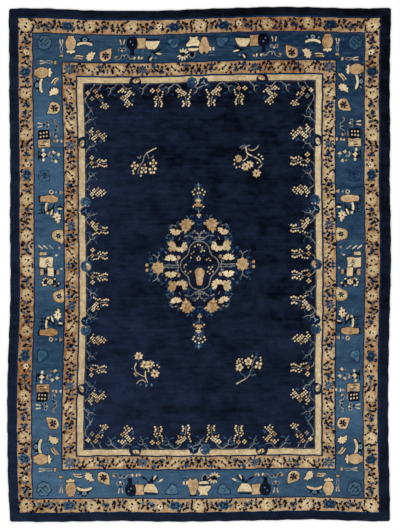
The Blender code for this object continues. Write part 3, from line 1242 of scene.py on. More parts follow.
def thicket(pen):
    """Small leaves, thick as a hedge, that fill a quarter of the medallion."""
    dice = np.random.RandomState(THICKET_SEED)
    for leaf in range(THICKET_LEAVES):
        angle = dice.uniform(0, 90)
        reach = np.interp(angle, THICKET_ANGLES, THICKET_REACH)
        inwards = (reach - THICKET_CORE) * dice.uniform(0, 1) ** THICKET_CROWDING
        spot = spin(angle) * (reach - THICKET_RIM - inwards)
        turn = angle + dice.uniform(-THICKET_LEAN, THICKET_LEAN)
        length = dice.uniform(*THICKET_LEAF_LENGTHS)
        yarn = THICKET_YARNS[leaf % len(THICKET_YARNS)]
        pen.leaf(yarn, spot.real, spot.imag, turn, length, THICKET_LEAF_WIDTH)


# Lobes of a peony that is seen from its side: the angle of each, its length and its width
PEONY_LOBES = (
    (164, 60, 20), (134, 52, 19), (104, 53, 20), (74, 50, 19), (44, 53, 20), (12, 60, 20), (-18, 46, 19),
    (-48, 56, 20), (-76, 66, 20), (-106, 44, 20), (-144, 36, 22),
)


def peony_heart(flower):
    """The lighter folds and darker creases in the middle of a medallion's peony."""
    for x, y, turn in ((-24, 22, 30), (-14, -14, 80), (24, -2, 20), (6, -30, 70), (38, 14, 60), (0, 42, 0)):
        flower.disc("straw", x, y, 9, 6, turn)
    for x, y, turn in ((-2, 26, -30), (-24, 4, 60), (14, 14, 20), (-2, -16, 0)):
        flower.disc("gold", x, y, 10, 7, turn)
    flower.strokes("gold", 7, (((-14, 4), (-2, 16), (12, 8)), ((-38, 18), (-22, 8), (-12, 12)),
                               ((12, 20), (24, 22), (32, 8)), ((-4, -10), (8, -18), (18, -12)),
                               ((-22, 36), (-8, 32), (6, 38)), ((-24, -6), (-18, -22), (-6, -30))))


def medallion_peony(pen, x, y):
    """A wide ragged flower with a lumpy heart."""
    flower = pen.at(x, y)
    flower.disc("ink", 0, 0, 52, 50)
    flower.disc("tan", 0, 6, 32)
    for angle, length, width in PEONY_LOBES:
        flower.leaf("tan", 0, 4, angle, length, width)
    peony_heart(flower)


def side_peony(pen, x, y, turn):
    """A round flower of eight lobes, with a forked twig above and below it and two beads beyond."""
    flower = pen.at(x, y, turn)
    flower.disc("ink", 0, 0, 48)
    flower.flower("tan", 0, 0, 46, 8, 0.2)
    peony_heart(flower.at(0, -4, 0, 0.8))
    petals(flower, "tan", ((20, 80), (-16, 80)), 11)
    for side in (-1, 1):
        for twig in (((50, 0), (72, -2), (94, 12)), ((72, -2), (84, -16), (96, -38))):
            flower.stroke("ash", [(side * along, -out) for along, out in twig], 5)


def crown_flower(pen, x, y, size=1.0, turn=0, yarn="cream"):
    """A flower seen from below its cup: pointed petals that rise from a wide base."""
    flower = pen.at(x, y, turn, size)
    flower.disc("ink", 0, 0, 46, 34)
    for angle, length, width in ((178, 46, 19), (150, 44, 18), (120, 38, 17), (90, 38, 17), (60, 38, 17),
                                 (30, 44, 18), (2, 46, 19)):
        flower.leaf(yarn, 0, -10, angle, length, width)
    for side in (-1, 1):
        flower.disc(yarn, side * 17, -13, 13, 8, side * 24)
    flower.disc("tan", 0, 2, 8, 6)
    flower.disc("ink", 0, -18, 5, 8)


def twin_flower(pen, light, dark):
    """Two ruffled flowers side by side that join below, each open at its top."""
    pen.disc("ink", 0, 0, 72, 46)
    pen.discs(dark, ((38, 8, 25, 37, -10), (24, -14, 20, 18, 0), (50, -18, 18, 16, 20),
                     (54, 20, 14, 20, 0)))
    pen.discs(light, ((-50, 4, 18, 30, 10), (-34, -22, 22, 19, -20), (-8, -18, 22, 17, 20),
                      (-58, -12, 14, 16, 0)))
    pen.leaves("ink", 17, 8, ((72, 4, 180), (64, 42, 230), (36, 48, 270), (68, -28, 150), (36, -38, 90),
                              (12, -36, 100), (-22, -44, 80), (-50, -42, 60), (-74, -18, 10),
                              (-70, 16, -10), (-54, 38, -80), (-4, 4, -90)))
    for x, y in ((34, 14), (46, -4), (26, -10)):
        pen.disc("gold", x, y, 8, 5, 40)
    for x, y in ((-38, -14), (-52, 8), (-14, -16)):
        pen.disc("tan", x, y, 7, 5, 20)
    pen.stroke("ink", ((-26, 36), (-22, 14), (-6, 4)), 9)
    pen.stroke("ink", ((10, 38), (8, 20), (0, 6)), 7)


CARTOUCHE = (
    (0, 178), (30, 172), (57, 150), (71, 125), (76, 100), (93, 70), (120, 48), (135, 24), (138, 0),
    (132, -26),
    (112, -51), (88, -76), (78, -95), (73, -120), (63, -145), (43, -163), (0, -176),
)


def medallion_heart(pen):
    ring = both_sides(CARTOUCHE)
    pen.shape("navy", ring)
    pen.stroke("ink", ring + ring[:1], 16)
    pen.stroke("ash", ring + ring[:1], 5.5)
    pen.body("gold", both_sides(((8, -14), (18, -20), (34, -42), (27, -82), (18, -134), (8, -140))))
    pen.strokes("tan", 5, (((-20, -50), (0, -58), (20, -50)), ((-14, -84), (0, -96), (12, -84)),
                           ((-8, -116), (0, -122), (8, -116))))
    pen.disc("ink", 0, -14, 7, 5)
    pen.strokes("royal", 5, (((0, -10), (-4, 60), (-6, 150)), ((0, 10), (-34, 40), (-62, 58)),
                             ((0, 6), (34, 26), (74, 38)), ((-4, 70), (10, 96), (34, 110)),
                             ((-4, 40), (-34, 76), (-42, 92)), ((-6, 100), (-26, 126), (-34, 140))))
    pen.leaves("blue", 24, 11, ((-20, 60, 150), (20, 70, 30), (-90, -20, 200), (84, 0, -10), (0, 120, 70),
                                (-60, 30, 190), (40, 120, 60)))
    petals(pen, "cream", ((-32, 139), (-11, 153), (6, 150), (12, 104), (24, 112), (37, 108), (-62, 56),
                          (-7, 66), (-18, 54), (4, 54), (-14, 41), (0, 41), (51, 44), (78, 36), (-110, 3),
                          (-95, 10), (-103, -40), (-68, -43), (68, -12), (91, -12), (80, -27), (58, -43),
                          (97, -45), (73, -58)), 5.5)
    petals(pen, "tan", ((20, 136), (18, 122), (-42, 98), (-58, 84), (66, 50), (-112, -9), (-83, -55)), 5.5)


def medallion_quarter(pen, light, dark):
    pen.strokes("ash", 5, (((4, 182), (34, 196), (60, 214), (92, 216), (106, 208)),
                           ((6, 226), (30, 238), (52, 234)), ((4, 200), (26, 206), (36, 190)),
                           ((62, 262), (34, 250), (8, 232), (4, 180)),
                           ((136, 206), (146, 190), (150, 170)), ((152, 0), (160, 32), (152, 62)),
                           ((152, 30), (176, 34), (200, 48)), ((148, 9), (200, 9), (256, 8)),
                           ((210, 62), (232, 86), (246, 104)), ((154, 268), (166, 284), (176, 292)),
                           ((176, 284), (190, 296), (206, 290))))
    medallion_peony(pen, 88, 288)
    crown_flower(pen, 172, 246, 0.95, 190 if dark == "tan" else 160)
    twin_flower(pen.at(158, 140), light, dark)
    crown_flower(pen, 208, 60)
    pen.leaf("tan", 144, 50, 70, 30, 22)
    petals(pen, "ash", ((170, 290), (34, 250)), 6.5)


def medallion_tip(pen):
    for height in range(390, 580, 22):
        for turn in (40, 140):
            yarn = "blue" if height % 44 else "royal"
            pen.leaf(yarn, 0, height, turn, 36 + (560 - height) / 8, 12)
    pen.stroke("ash", ((0, 370), (-4, 430), (0, 500), (0, 560)), 5.5)
    pen.leaf("pale", 0, 566, 90, 32, 12)
    pen.disc("ink", -4, 440, 38, 26)
    for angle, length, width in ((150, 38, 15), (110, 36, 15), (70, 36, 15), (30, 38, 15)):
        pen.leaf("tan", -4, 424, angle, length, width)
        pen.leaf("straw", -4, 460, angle, length * 0.7, 11)
    petals(pen, "cream", ((-40, 424), (34, 424), (-36, 512), (-44, 530), (-28, 546), (-8, 520), (10, 524),
                          (26, 546), (44, 532), (36, 512), (0, 556)), 6.5)
    for angle in (30, 150, 270):
        pen.leaf("straw", 0, 360, angle, 18, 12)
    pen.disc("tan", 0, 360, 7)


MEDALLION_PLACE = -5 - 1j
QUARTER_YARNS = (("cream", "straw"), ("straw", "tan"), ("cream", "straw"), ("straw", "tan"))


def draw_medallion(chart):
    pen = Pen(chart, MEDALLION_PLACE)
    halves = (pen, pen.at(0, 0, mirrored=True))
    quarters = [quarter for half in halves for quarter in half.halves()]
    for quarter in quarters:
        thicket(quarter)
    for half in halves:
        medallion_tip(half)
    for quarter, yarns in zip(quarters, QUARTER_YARNS):
        medallion_quarter(quarter, *yarns)
    side_peony(pen, 309, 6, -90)
    side_peony(pen, -300, -10, 90)
    medallion_heart(pen)


def draw_pattern(chart):
    draw_bands(chart)
    draw_main_border(chart)
    draw_guards(chart)
    draw_corners(chart)
    draw_frieze(chart)
    draw_places(Pen(chart), SPRAYS)
    draw_medallion(chart)


# The mesh. Each grid line is a distance across or along the straight rug, in millimetres.

SHARP_ANGLE = math.radians(40)
# The frame's solid, in metres: its upright wall lies between two heights, and a point belongs to
# an edge where it is no deeper than the edge's own bows and clear of the round corners
WALL_LOW, WALL_HIGH = 0.0013, 0.006
EDGE_DEPTH, CORNER_ROOM = 0.030, 0.014


def grid_lines(half, rims, pitch, stripe_pitch):
    """Lines from edge to edge: the rim's own, wide ones over the plain stripe, then fine ones."""
    rim = [step.inwards for step in rims]
    stripes = round((PLAIN_STRIPE - rim[-1]) / stripe_pitch)
    stripe = np.linspace(rim[-1], PLAIN_STRIPE, stripes + 1)[1:-1]
    side = np.concatenate((rim, stripe)) - half
    start = PLAIN_STRIPE - half
    middle = np.linspace(start, -start, round(-2 * start / pitch) + 1)
    return np.concatenate((side, middle, -side[::-1]))


class Outline:
    """The crooked outline of the frame's solid, which the straight rug is fitted to."""

    def __init__(self, node):
        corners = np.array([v.co for v in node.data.vertices])
        ring = corners[(corners[:, 2] > WALL_LOW) & (corners[:, 2] < WALL_HIGH)]
        self.left = self.edge(ring, 0, -1)
        self.right = self.edge(ring, 0, 1)
        self.foot = self.edge(ring, 1, -1)
        self.head = self.edge(ring, 1, 1)

    @staticmethod
    def edge(ring, axis, side):
        """The places and depths of one edge's points, clear of the corners."""
        limit = (ring[:, axis] * side).max() - EDGE_DEPTH
        ends = np.abs(ring[:, 1 - axis]).max() - EDGE_DEPTH - CORNER_ROOM
        near = ring[(ring[:, axis] * side > limit) & (np.abs(ring[:, 1 - axis]) < ends)]
        near = near[np.argsort(near[:, 1 - axis])]
        return near[:, 1 - axis], near[:, axis]

    def place(self, points):
        """Moves points of the straight rug, in millimetres, to the crooked one, in metres."""
        across = points.real / WIDTH + 0.5
        along = points.imag / LENGTH + 0.5
        x = points.real * MM
        for _ in range(2):
            foot, head = np.interp(x, *self.foot), np.interp(x, *self.head)
            y = foot + (head - foot) * along
            left, right = np.interp(y, *self.left), np.interp(y, *self.right)
            x = left + (right - left) * across
        return x, y


def round_corners(points):
    """Bends the square corners of the straight rug round. Also says how far in each point is."""
    in_x = HALF_WIDTH - np.abs(points.real)
    in_y = HALF_LENGTH - np.abs(points.imag)
    u = np.clip(1 - in_x / CORNER_RADIUS, 0, 1)
    v = np.clip(1 - in_y / CORNER_RADIUS, 0, 1)
    corner = (u > 0) & (v > 0)
    round_u = u * np.sqrt(1 - v**2 / 2)
    round_v = v * np.sqrt(1 - u**2 / 2)
    shift_x = np.sign(points.real) * (u - round_u) * CORNER_RADIUS
    shift_y = np.sign(points.imag) * (v - round_v) * CORNER_RADIUS
    inwards = np.where(corner, (1 - np.hypot(round_u, round_v)) * CORNER_RADIUS, np.minimum(in_x, in_y))
    return points - np.where(corner, shift_x + 1j * shift_y, 0), np.maximum(inwards, 0)


def slab_grid(name, columns, rows, side):
    """A closed slab whose upper or lower face is a grid, as a mesh of unit steps."""
    mesh = bmesh.new()
    bmesh.ops.create_grid(mesh, x_segments=columns, y_segments=rows, size=1)
    rim = [edge for edge in mesh.edges if edge.is_boundary]
    walls = bmesh.ops.extrude_edge_only(mesh, edges=rim)
    corners = [item for item in walls["geom"] if isinstance(item, bmesh.types.BMVert)]
    bmesh.ops.translate(mesh, verts=corners, vec=(0, 0, -side))
    rim = [edge for edge in mesh.edges if edge.is_boundary]
    bmesh.ops.edgeloop_fill(mesh, edges=rim)
    flat = [face for face in mesh.faces if len(face.verts) > 4]
    bmesh.ops.triangulate(mesh, faces=flat, ngon_method="BEAUTY")
    bmesh.ops.recalc_face_normals(mesh, faces=mesh.faces)
    data = bpy.data.meshes.new(name)
    mesh.to_mesh(data)
    mesh.free()
    return data


def place_slab(data, chart, outline, columns, rows, rims, surface, far_side):
    """Gives a slab its real form, and its points the chart's distances.

    Columns and rows are the chart's lines that it covers. Its grid lies at the height surface,
    less its rim, and its flat far side at the height far_side.
    """
    count = len(data.vertices)
    corners = np.empty(count * 3, np.float32)
    data.vertices.foreach_get("co", corners)
    corners = corners.reshape(count, 3)
    steps = (columns.stop - columns.start - 1, rows.stop - rows.start - 1)
    column = np.rint((corners[:, 0] + 1) / 2 * steps[0]).astype(int) + columns.start
    row = np.rint((corners[:, 1] + 1) / 2 * steps[1]).astype(int) + rows.start
    straight = chart.across[column] + 1j * chart.along[row]
    rounded, inwards = round_corners(straight)
    x, y = outline.place(rounded)
    fall = np.interp(inwards, [rim.inwards for rim in rims], [rim.below for rim in rims])
    upwards = np.sign(surface - far_side)
    height = surface - upwards * fall
    on_grid = corners[:, 2] == 0
    z = np.where(on_grid, height, far_side) * MM
    data.vertices.foreach_set("co", np.stack((x, y, z), 1).astype(np.float32).ravel())
    for yarn in YARNS:
        distances = data.attributes.new(yarn, "FLOAT", "POINT")
        distances.data.foreach_set("value", chart.yarns[yarn][row, column])
    data.update()
    data.shade_smooth()
    data.set_sharp_from_angle(angle=SHARP_ANGLE)
    return straight, on_grid


# The map's parts, as shares of it: where the grid starts and how far it spans, the strip of the
# far side, and a strip for each of the four walls
MAP_START, MAP_SPAN = 0.06, 0.935
FAR_START, FAR_SPAN = 0.005, 0.045
WALL_START, WALL_STEP, WALL_SPAN = 0.003, 0.013, 0.010
AT_RIM = 1e-4


def lay_bake_map(data, straight, on_grid):
    """The map that a bake of the looks uses: the grid in plan, with its walls and far side beside it."""
    count = len(data.loops)
    corner = np.empty(count, np.int32)
    data.loops.foreach_get("vertex_index", corner)
    low = straight.real.min() + 1j * straight.imag.min()
    high = straight.real.max() + 1j * straight.imag.max()
    across = (straight.real - low.real) / (high.real - low.real)
    along = (straight.imag - low.imag) / (high.imag - low.imag)
    faces = len(data.polygons)
    starts = np.empty(faces, np.int32)
    totals = np.empty(faces, np.int32)
    data.polygons.foreach_get("loop_start", starts)
    data.polygons.foreach_get("loop_total", totals)
    face_of = np.repeat(np.arange(faces), totals)
    on_top = np.minimum.reduceat(on_grid[corner].astype(int), starts)[face_of] == 1
    on_far = np.maximum.reduceat(on_grid[corner].astype(int), starts)[face_of] == 0
    u, v = across[corner], along[corner]
    rise = on_grid[corner].astype(float)
    mid_u = (np.add.reduceat(u, starts) / totals)[face_of]
    mid_v = (np.add.reduceat(v, starts) / totals)[face_of]
    ledge = np.select([mid_u < AT_RIM, mid_u > 1 - AT_RIM, mid_v < AT_RIM], [0, 1, 2], 3)
    run = np.where(ledge < 2, v, u)
    top = np.stack((MAP_START + MAP_SPAN * u, MAP_START + MAP_SPAN * v), 1)
    far = np.stack((FAR_START + FAR_SPAN * u, MAP_START + MAP_SPAN * v), 1)
    strip = WALL_START + WALL_STEP * ledge + WALL_SPAN * rise
    wall = np.stack((MAP_START + MAP_SPAN * run, strip), 1)
    spots = np.where(on_top[:, None], top, np.where(on_far[:, None], far, wall))
    layer = data.uv_layers.new(name="OFBake")
    layer.data.foreach_set("uv", spots.astype(np.float32).ravel())


def lay_piece(name, data, material):
    piece = bpy.data.objects.new(name, data)
    bpy.context.scene.collection.objects.link(piece)
    data.materials.append(material)
    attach(piece, "root")
    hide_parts("rug")
    return piece


def build_foundation(outline, material):
    across = grid_lines(HALF_WIDTH, BACK_RIM, BACK_PITCH, BACK_PITCH)
    along = grid_lines(HALF_LENGTH, BACK_RIM, BACK_PITCH, BACK_PITCH)
    chart = Chart(across, along)
    draw_pattern(chart)
    data = slab_grid("rug_foundation", len(across) - 1, len(along) - 1, -1)
    whole = (slice(0, len(across)), slice(0, len(along)))
    spots = place_slab(data, chart, outline, *whole, BACK_RIM, 0.0, FOUNDATION)
    lay_bake_map(data, *spots)
    return lay_piece("rug_foundation", data, material)


def build_pile(outline, material):
    across = grid_lines(HALF_WIDTH, PILE_RIM, PILE_PITCH, PILE_STRIPE_PITCH)
    along = grid_lines(HALF_LENGTH, PILE_RIM, PILE_PITCH, PILE_STRIPE_PITCH)
    chart = Chart(across, along)
    draw_pattern(chart)
    column_cuts = np.linspace(0, len(across) - 1, PILE_COLUMNS + 1).astype(int)
    row_cuts = np.linspace(0, len(along) - 1, PILE_ROWS + 1).astype(int)
    tiles = []
    for column, (left, right) in enumerate(zip(column_cuts, column_cuts[1:])):
        for row, (near, far) in enumerate(zip(row_cuts, row_cuts[1:])):
            name = f"rug_pile_{column + 1}_{row + 1}"
            data = slab_grid(name, right - left, far - near, 1)
            reach = (slice(left, right + 1), slice(near, far + 1))
            spots = place_slab(data, chart, outline, *reach, PILE_RIM, THICKNESS, FOUNDATION)
            lay_bake_map(data, *spots)
            tiles.append(lay_piece(name, data, material))
    return tiles


# Materials


def colour(red, green, blue):
    """A colour given from 0 to 255 each, as the shader takes it."""
    shares = (share / 255 for share in (red, green, blue))
    return (*(((s + 0.055) / 1.055) ** 2.4 if s > 0.04045 else s / 12.92 for s in shares), 1.0)


MIX_SHARE, MIX_LOW, MIX_HIGH, MIX_RESULT = 0, 6, 7, 2  # the colour sockets of a Mix node


def add(tree, kind, inputs, **settings):
    """A new node with its settings. Each input is a value, or a socket that feeds it."""
    node = tree.nodes.new(kind)
    for name, value in settings.items():
        setattr(node, name, value)
    for name, value in inputs.items():
        if isinstance(value, bpy.types.NodeSocket):
            tree.links.new(value, node.inputs[name])
        else:
            node.inputs[name].default_value = value
    return node


def maths(tree, operation, *values):
    return add(tree, "ShaderNodeMath", dict(enumerate(values)), operation=operation).outputs["Value"]


def mix(tree, share, low, high, blend="MIX"):
    node = add(tree, "ShaderNodeMix", {MIX_SHARE: share, MIX_LOW: low, MIX_HIGH: high},
               data_type="RGBA", blend_type=blend)
    return node.outputs[MIX_RESULT]


def ramp(tree, value, low, high, to_low=0.0, to_high=1.0):
    """A value carried from one range to another, and kept inside it."""
    node = add(tree, "ShaderNodeMapRange", {"Value": value, "From Min": low, "From Max": high,
                                            "To Min": to_low, "To Max": to_high})
    return node.outputs["Result"]


def noise(tree, place, scale, detail=2.0):
    node = add(tree, "ShaderNodeTexNoise", {"Vector": place, "Scale": scale, "Detail": detail})
    return node.outputs["Fac"]


def stretched(tree, place, factors):
    return add(tree, "ShaderNodeMapping", {"Vector": place, "Scale": factors}).outputs["Vector"]


def new_group(name, inputs, outputs):
    """A shader node group with named sockets, and its input and output nodes."""
    tree = bpy.data.node_groups.new(name, "ShaderNodeTree")
    for socket, kind in inputs.items():
        tree.interface.new_socket(socket, in_out="INPUT", socket_type=kind)
    for socket, kind in outputs.items():
        tree.interface.new_socket(socket, in_out="OUTPUT", socket_type=kind)
    return tree, tree.nodes.new("NodeGroupInput").outputs, tree.nodes.new("NodeGroupOutput").inputs


FLOAT, VECTOR, COLOUR = "NodeSocketFloat", "NodeSocketVector", "NodeSocketColor"
KNOT = 0.0032  # across one knot, in metres
KNOT_UNEVENNESS = 0.55
TUFT_SHADE_SCALE = 70.0  # for each metre: patches of pile that lean together, their light and shade painted in the colour
PATCH_SCALE = 6.0  # for each metre
MOTTLE_SCALE = 34.0  # for each metre
# Noise stays near its middle. It is carried from one of these ranges to the whole of 0 to 1, and
# the narrow one gives the stronger contrast.
NARROW_NOISE = (0.36, 0.64)
WIDE_NOISE = (0.34, 0.66)
FADE_MIDDLE = 0.44
FADE_ACROSS, FADE_ALONG = -0.12, -0.10  # for each metre
FADE_UNEVENNESS, CLOUD_UNEVENNESS = 0.56, 0.90
EDGE_STRIPE = (-0.070, -0.062)  # where the plain stripe sets in, in metres from the edge
STRAY_SPREAD = 2.4  # between the knots that stray most to either side of a yarn's edge, in millimetres
EDGE_SOFTNESS = 0.9  # of a yarn's edge, to either side, in millimetres
SHADES = (0.80, 1.20)  # of single knots, and of the painted shade of leaning pile
KNOT_BUMP = 0.6  # the strength of the knots' relief
WOOL_SHINE = 0.04
PILE_RELIEF, BACK_RELIEF = 0.0022, 0.0008  # in metres
PILE_ROUGHNESS, BACK_ROUGHNESS = 0.95, 0.9
PILE_SHEEN, BACK_SHEEN = 0.03, 0.0


def knots_group():
    """Rows of knots: how high each stands, how it differs in colour with painted shade of leaning pile, how
    it strays from an edge.
    """
    tree, given, out = new_group("knots", {"Place": VECTOR, "Pitch": FLOAT},
                                 {"Height": FLOAT, "Speck_and_shade": FLOAT, "Stray": FLOAT})
    scale = maths(tree, "DIVIDE", 1.0, given["Pitch"])
    cells = add(tree, "ShaderNodeTexVoronoi", {"Vector": given["Place"], "Scale": scale,
                                               "Randomness": KNOT_UNEVENNESS}, voronoi_dimensions="2D")
    height = ramp(tree, cells.outputs["Distance"], 0.0, 0.75, 1.0, 0.0)
    tree.links.new(height, out["Height"])
    split = add(tree, "ShaderNodeSeparateColor", {"Color": cells.outputs["Color"]})
    # Painted shade: patches of leaning pile made darker or lighter, mixed with each knot's own tone
    tuft_shade = ramp(tree, noise(tree, given["Place"], TUFT_SHADE_SCALE, 1.0), *WIDE_NOISE)
    speck_and_shade = maths(tree, "MULTIPLY_ADD", tuft_shade, 0.6, maths(tree, "MULTIPLY", split.outputs["Red"], 0.4))
    tree.links.new(speck_and_shade, out["Speck_and_shade"])
    stray = maths(tree, "SUBTRACT", split.outputs["Green"], 0.5)
    tree.links.new(stray, out["Stray"])
    return tree


def with_lots(tree, place, value, lots):
    """Adds a few soft places where a dye came out lighter or darker."""
    for lot in lots:
        away = add(tree, "ShaderNodeVectorMath", {0: place, 1: (lot.x, lot.y, 0)}, operation="DISTANCE")
        soft = ramp(tree, away.outputs["Value"], lot.reach * 1.3, lot.reach * 0.3, 0.0, lot.gain)
        value = maths(tree, "ADD", value, soft)
    return value


def lightness_gradient(tree, place):
    """How light the blue and navy wool is: it grows lighter towards one corner, and lighter or darker in a
    few places.
    """
    axes = add(tree, "ShaderNodeSeparateXYZ", {"Vector": place}).outputs
    fade = maths(tree, "MULTIPLY_ADD", axes["X"], FADE_ACROSS, FADE_MIDDLE)
    fade = maths(tree, "MULTIPLY_ADD", axes["Y"], FADE_ALONG, fade)
    return with_lots(tree, place, fade, LOTS)


def abrash_group():
    """How a dye changes over the rug: in streaks, in patches, and lighter towards one corner."""
    tree, given, out = new_group("abrash", {"Place": VECTOR}, {"Streak": FLOAT, "Patch": FLOAT,
                                                               "Mottle": FLOAT, "Fade": FLOAT,
                                                               "Cloud": FLOAT})
    wide = noise(tree, stretched(tree, given["Place"], (0.5, 7.0, 1.0)), 1.0, 3.0)
    fine = noise(tree, stretched(tree, given["Place"], (2.5, 60.0, 1.0)), 1.0, 2.0)
    streak = maths(tree, "ADD", maths(tree, "MULTIPLY", wide, 0.6), maths(tree, "MULTIPLY", fine, 0.4))
    streak = ramp(tree, streak, *NARROW_NOISE)
    patch = ramp(tree, noise(tree, given["Place"], PATCH_SCALE, 3.0), *NARROW_NOISE)
    fade = lightness_gradient(tree, given["Place"])
    blots = noise(tree, stretched(tree, given["Place"], (14.0, 26.0, 1.0)), 1.0, 3.0)
    blots = ramp(tree, blots, *WIDE_NOISE)
    uneven = maths(tree, "ADD", maths(tree, "MULTIPLY", streak, 0.55), maths(tree, "MULTIPLY", blots, 0.45))
    streaked = maths(tree, "MULTIPLY_ADD", uneven, FADE_UNEVENNESS,
                     maths(tree, "SUBTRACT", fade, FADE_UNEVENNESS / 2))
    blotted = maths(tree, "ADD", maths(tree, "MULTIPLY", uneven, 0.66), maths(tree, "MULTIPLY", patch, 0.34))
    cloudy = maths(tree, "MULTIPLY_ADD", blotted, CLOUD_UNEVENNESS,
                   maths(tree, "SUBTRACT", fade, CLOUD_UNEVENNESS / 2))
    tree.links.new(streak, out["Streak"])
    tree.links.new(patch, out["Patch"])
    spots = ramp(tree, noise(tree, given["Place"], MOTTLE_SCALE, 2.0), *WIDE_NOISE)
    mottle = maths(tree, "ADD", maths(tree, "MULTIPLY", spots, 0.6), maths(tree, "MULTIPLY", patch, 0.4))
    mottle = ramp(tree, with_lots(tree, given["Place"], mottle, GOLD_LOTS), 0.0, 1.0)
    tree.links.new(mottle, out["Mottle"])
    tree.links.new(ramp(tree, streaked, 0.0, 1.0), out["Fade"])
    tree.links.new(ramp(tree, cloudy, 0.0, 1.0), out["Cloud"])
    return tree


def edge_stripe(tree, place):
    """The plain stripe along the rug's edges, from how far each point is from the middle."""
    axes = add(tree, "ShaderNodeSeparateXYZ", {"Vector": place}).outputs
    across = maths(tree, "SUBTRACT", maths(tree, "ABSOLUTE", axes["X"]), HALF_WIDTH * MM)
    along = maths(tree, "SUBTRACT", maths(tree, "ABSOLUTE", axes["Y"]), HALF_LENGTH * MM)
    nearest = maths(tree, "MAXIMUM", across, along)
    return ramp(tree, nearest, *EDGE_STRIPE)


def yarn_edge_group():
    """The part of the surface that a yarn covers, from the distance to its edge in millimetres."""
    tree, given, out = new_group("yarn_edge", {"Distance": FLOAT, "Stray": FLOAT}, {"Cover": FLOAT})
    edge = maths(tree, "ADD", given["Distance"], maths(tree, "MULTIPLY", given["Stray"], STRAY_SPREAD))
    tree.links.new(ramp(tree, edge, -EDGE_SOFTNESS, EDGE_SOFTNESS, 1.0, 0.0), out["Cover"])
    return tree


def dyed_group():
    """A dye that changes over the rug and a little from knot to knot, with painted shade of leaning pile."""
    tree, given, out = new_group("dyed", {"Dark": COLOUR, "Light": COLOUR, "Change": FLOAT, "Speck_and_shade": FLOAT},
                                 {"Colour": COLOUR})
    between = mix(tree, given["Change"], given["Dark"], given["Light"])
    shade = ramp(tree, given["Speck_and_shade"], 0.0, 1.0, *SHADES)
    level = add(tree, "ShaderNodeCombineColor", {"Red": shade, "Green": shade, "Blue": shade})
    tree.links.new(mix(tree, 1.0, between, level.outputs["Color"], "MULTIPLY"), out["Colour"])
    return tree


# The dyes were picked, then corrected against mean colours of patches of the photograph
Dye = namedtuple("Dye", "dark light change")
NAVY_DYE = Dye(colour(2, 6, 18), colour(32, 44, 70), "Cloud")
EDGE_DYE = Dye(colour(3, 5, 10), colour(28, 38, 60), "Cloud")
DYES = {
    "blue": Dye(colour(17, 40, 64), colour(72, 104, 130), "Fade"),
    "sky": Dye(colour(40, 70, 92), colour(84, 116, 134), "Fade"),
    "gold": Dye(colour(136, 92, 54), colour(192, 165, 126), "Mottle"),
    "tan": Dye(colour(150, 114, 74), colour(200, 172, 132), "Mottle"),
    "straw": Dye(colour(170, 146, 106), colour(214, 194, 154), "Mottle"),
    "cream": Dye(colour(200, 178, 138), colour(230, 212, 174), "Patch"),
    "ash": Dye(colour(124, 122, 118), colour(164, 158, 146), "Patch"),
    "pale": Dye(colour(82, 116, 136), colour(122, 148, 158), "Patch"),
    "royal": Dye(colour(5, 26, 52), colour(11, 42, 76), "Streak"),
    "ink": Dye(colour(5, 6, 20), colour(13, 15, 34), "Patch"),
}
# Soft places where the wool is lighter or darker than round them, in metres on the rug
Lot = namedtuple("Lot", "x y reach gain")
LOTS = (
    Lot(-1.10, 1.10, 0.16, 0.30), Lot(-1.10, 0.72, 0.22, 0.18), Lot(-1.10, -0.62, 0.36, -0.36),
    Lot(1.10, -0.98, 0.26, 0.36), Lot(0.0, 0.10, 0.80, -0.14), Lot(0.0, -1.00, 0.60, -0.10),
    Lot(0.20, 1.62, 0.90, -0.14), Lot(-0.72, 0.55, 0.34, 0.14), Lot(0.70, -0.20, 0.30, -0.10),
)
# The same, of the golds and tans alone
GOLD_LOTS = (
    Lot(-1.26, -0.62, 0.40, -0.40), Lot(0.62, 1.74, 0.40, -0.40), Lot(1.25, -1.72, 0.50, 0.34),
    Lot(0.94, 0.75, 0.55, 0.30), Lot(0.94, -1.00, 0.40, 0.22), Lot(-0.50, -1.78, 0.60, 0.20),
    Lot(0.40, -1.78, 0.50, 0.20),
)
WORK = {}


def make_groups():
    for name, make in (("knots", knots_group), ("abrash", abrash_group), ("yarn_edge", yarn_edge_group),
                       ("dyed", dyed_group)):
        WORK[name] = make()


def use(tree, name, inputs):
    return add(tree, "ShaderNodeGroup", inputs, node_tree=WORK[name]).outputs


def dyed_colour(tree, dye, changes, speck_and_shade):
    return use(tree, "dyed", {"Dark": dye.dark, "Light": dye.light, "Change": changes[dye.change],
                              "Speck_and_shade": speck_and_shade})["Colour"]


def wool_material(name, roughness, sheen, relief):
    """Wool in the yarns of the chart, as knots that stand up by the relief given, in metres."""
    material = bpy.data.materials.new(name)
    material.use_nodes = True
    tree = material.node_tree
    shader = tree.nodes["Principled BSDF"]
    place = add(tree, "ShaderNodeTexCoord", {}).outputs["Object"]
    knots = use(tree, "knots", {"Place": place, "Pitch": KNOT})
    changes = use(tree, "abrash", {"Place": place})
    speck_and_shade = knots["Speck_and_shade"]
    wool = dyed_colour(tree, NAVY_DYE, changes, speck_and_shade)
    edge = dyed_colour(tree, EDGE_DYE, changes, speck_and_shade)
    wool = mix(tree, edge_stripe(tree, place), wool, edge)
    for yarn in YARNS:
        distance = add(tree, "ShaderNodeAttribute", {}, attribute_name=yarn).outputs["Fac"]
        cover = use(tree, "yarn_edge", {"Distance": distance, "Stray": knots["Stray"]})["Cover"]
        wool = mix(tree, cover, wool, dyed_colour(tree, DYES[yarn], changes, speck_and_shade))
    tree.links.new(wool, shader.inputs["Base Color"])
    shader.inputs["Roughness"].default_value = roughness
    shader.inputs["Specular IOR Level"].default_value = WOOL_SHINE
    shader.inputs["Sheen Weight"].default_value = sheen
    bump = add(tree, "ShaderNodeBump", {"Height": knots["Height"], "Distance": relief,
                                        "Strength": KNOT_BUMP})
    tree.links.new(bump.outputs["Normal"], shader.inputs["Normal"])
    return material


# The studio

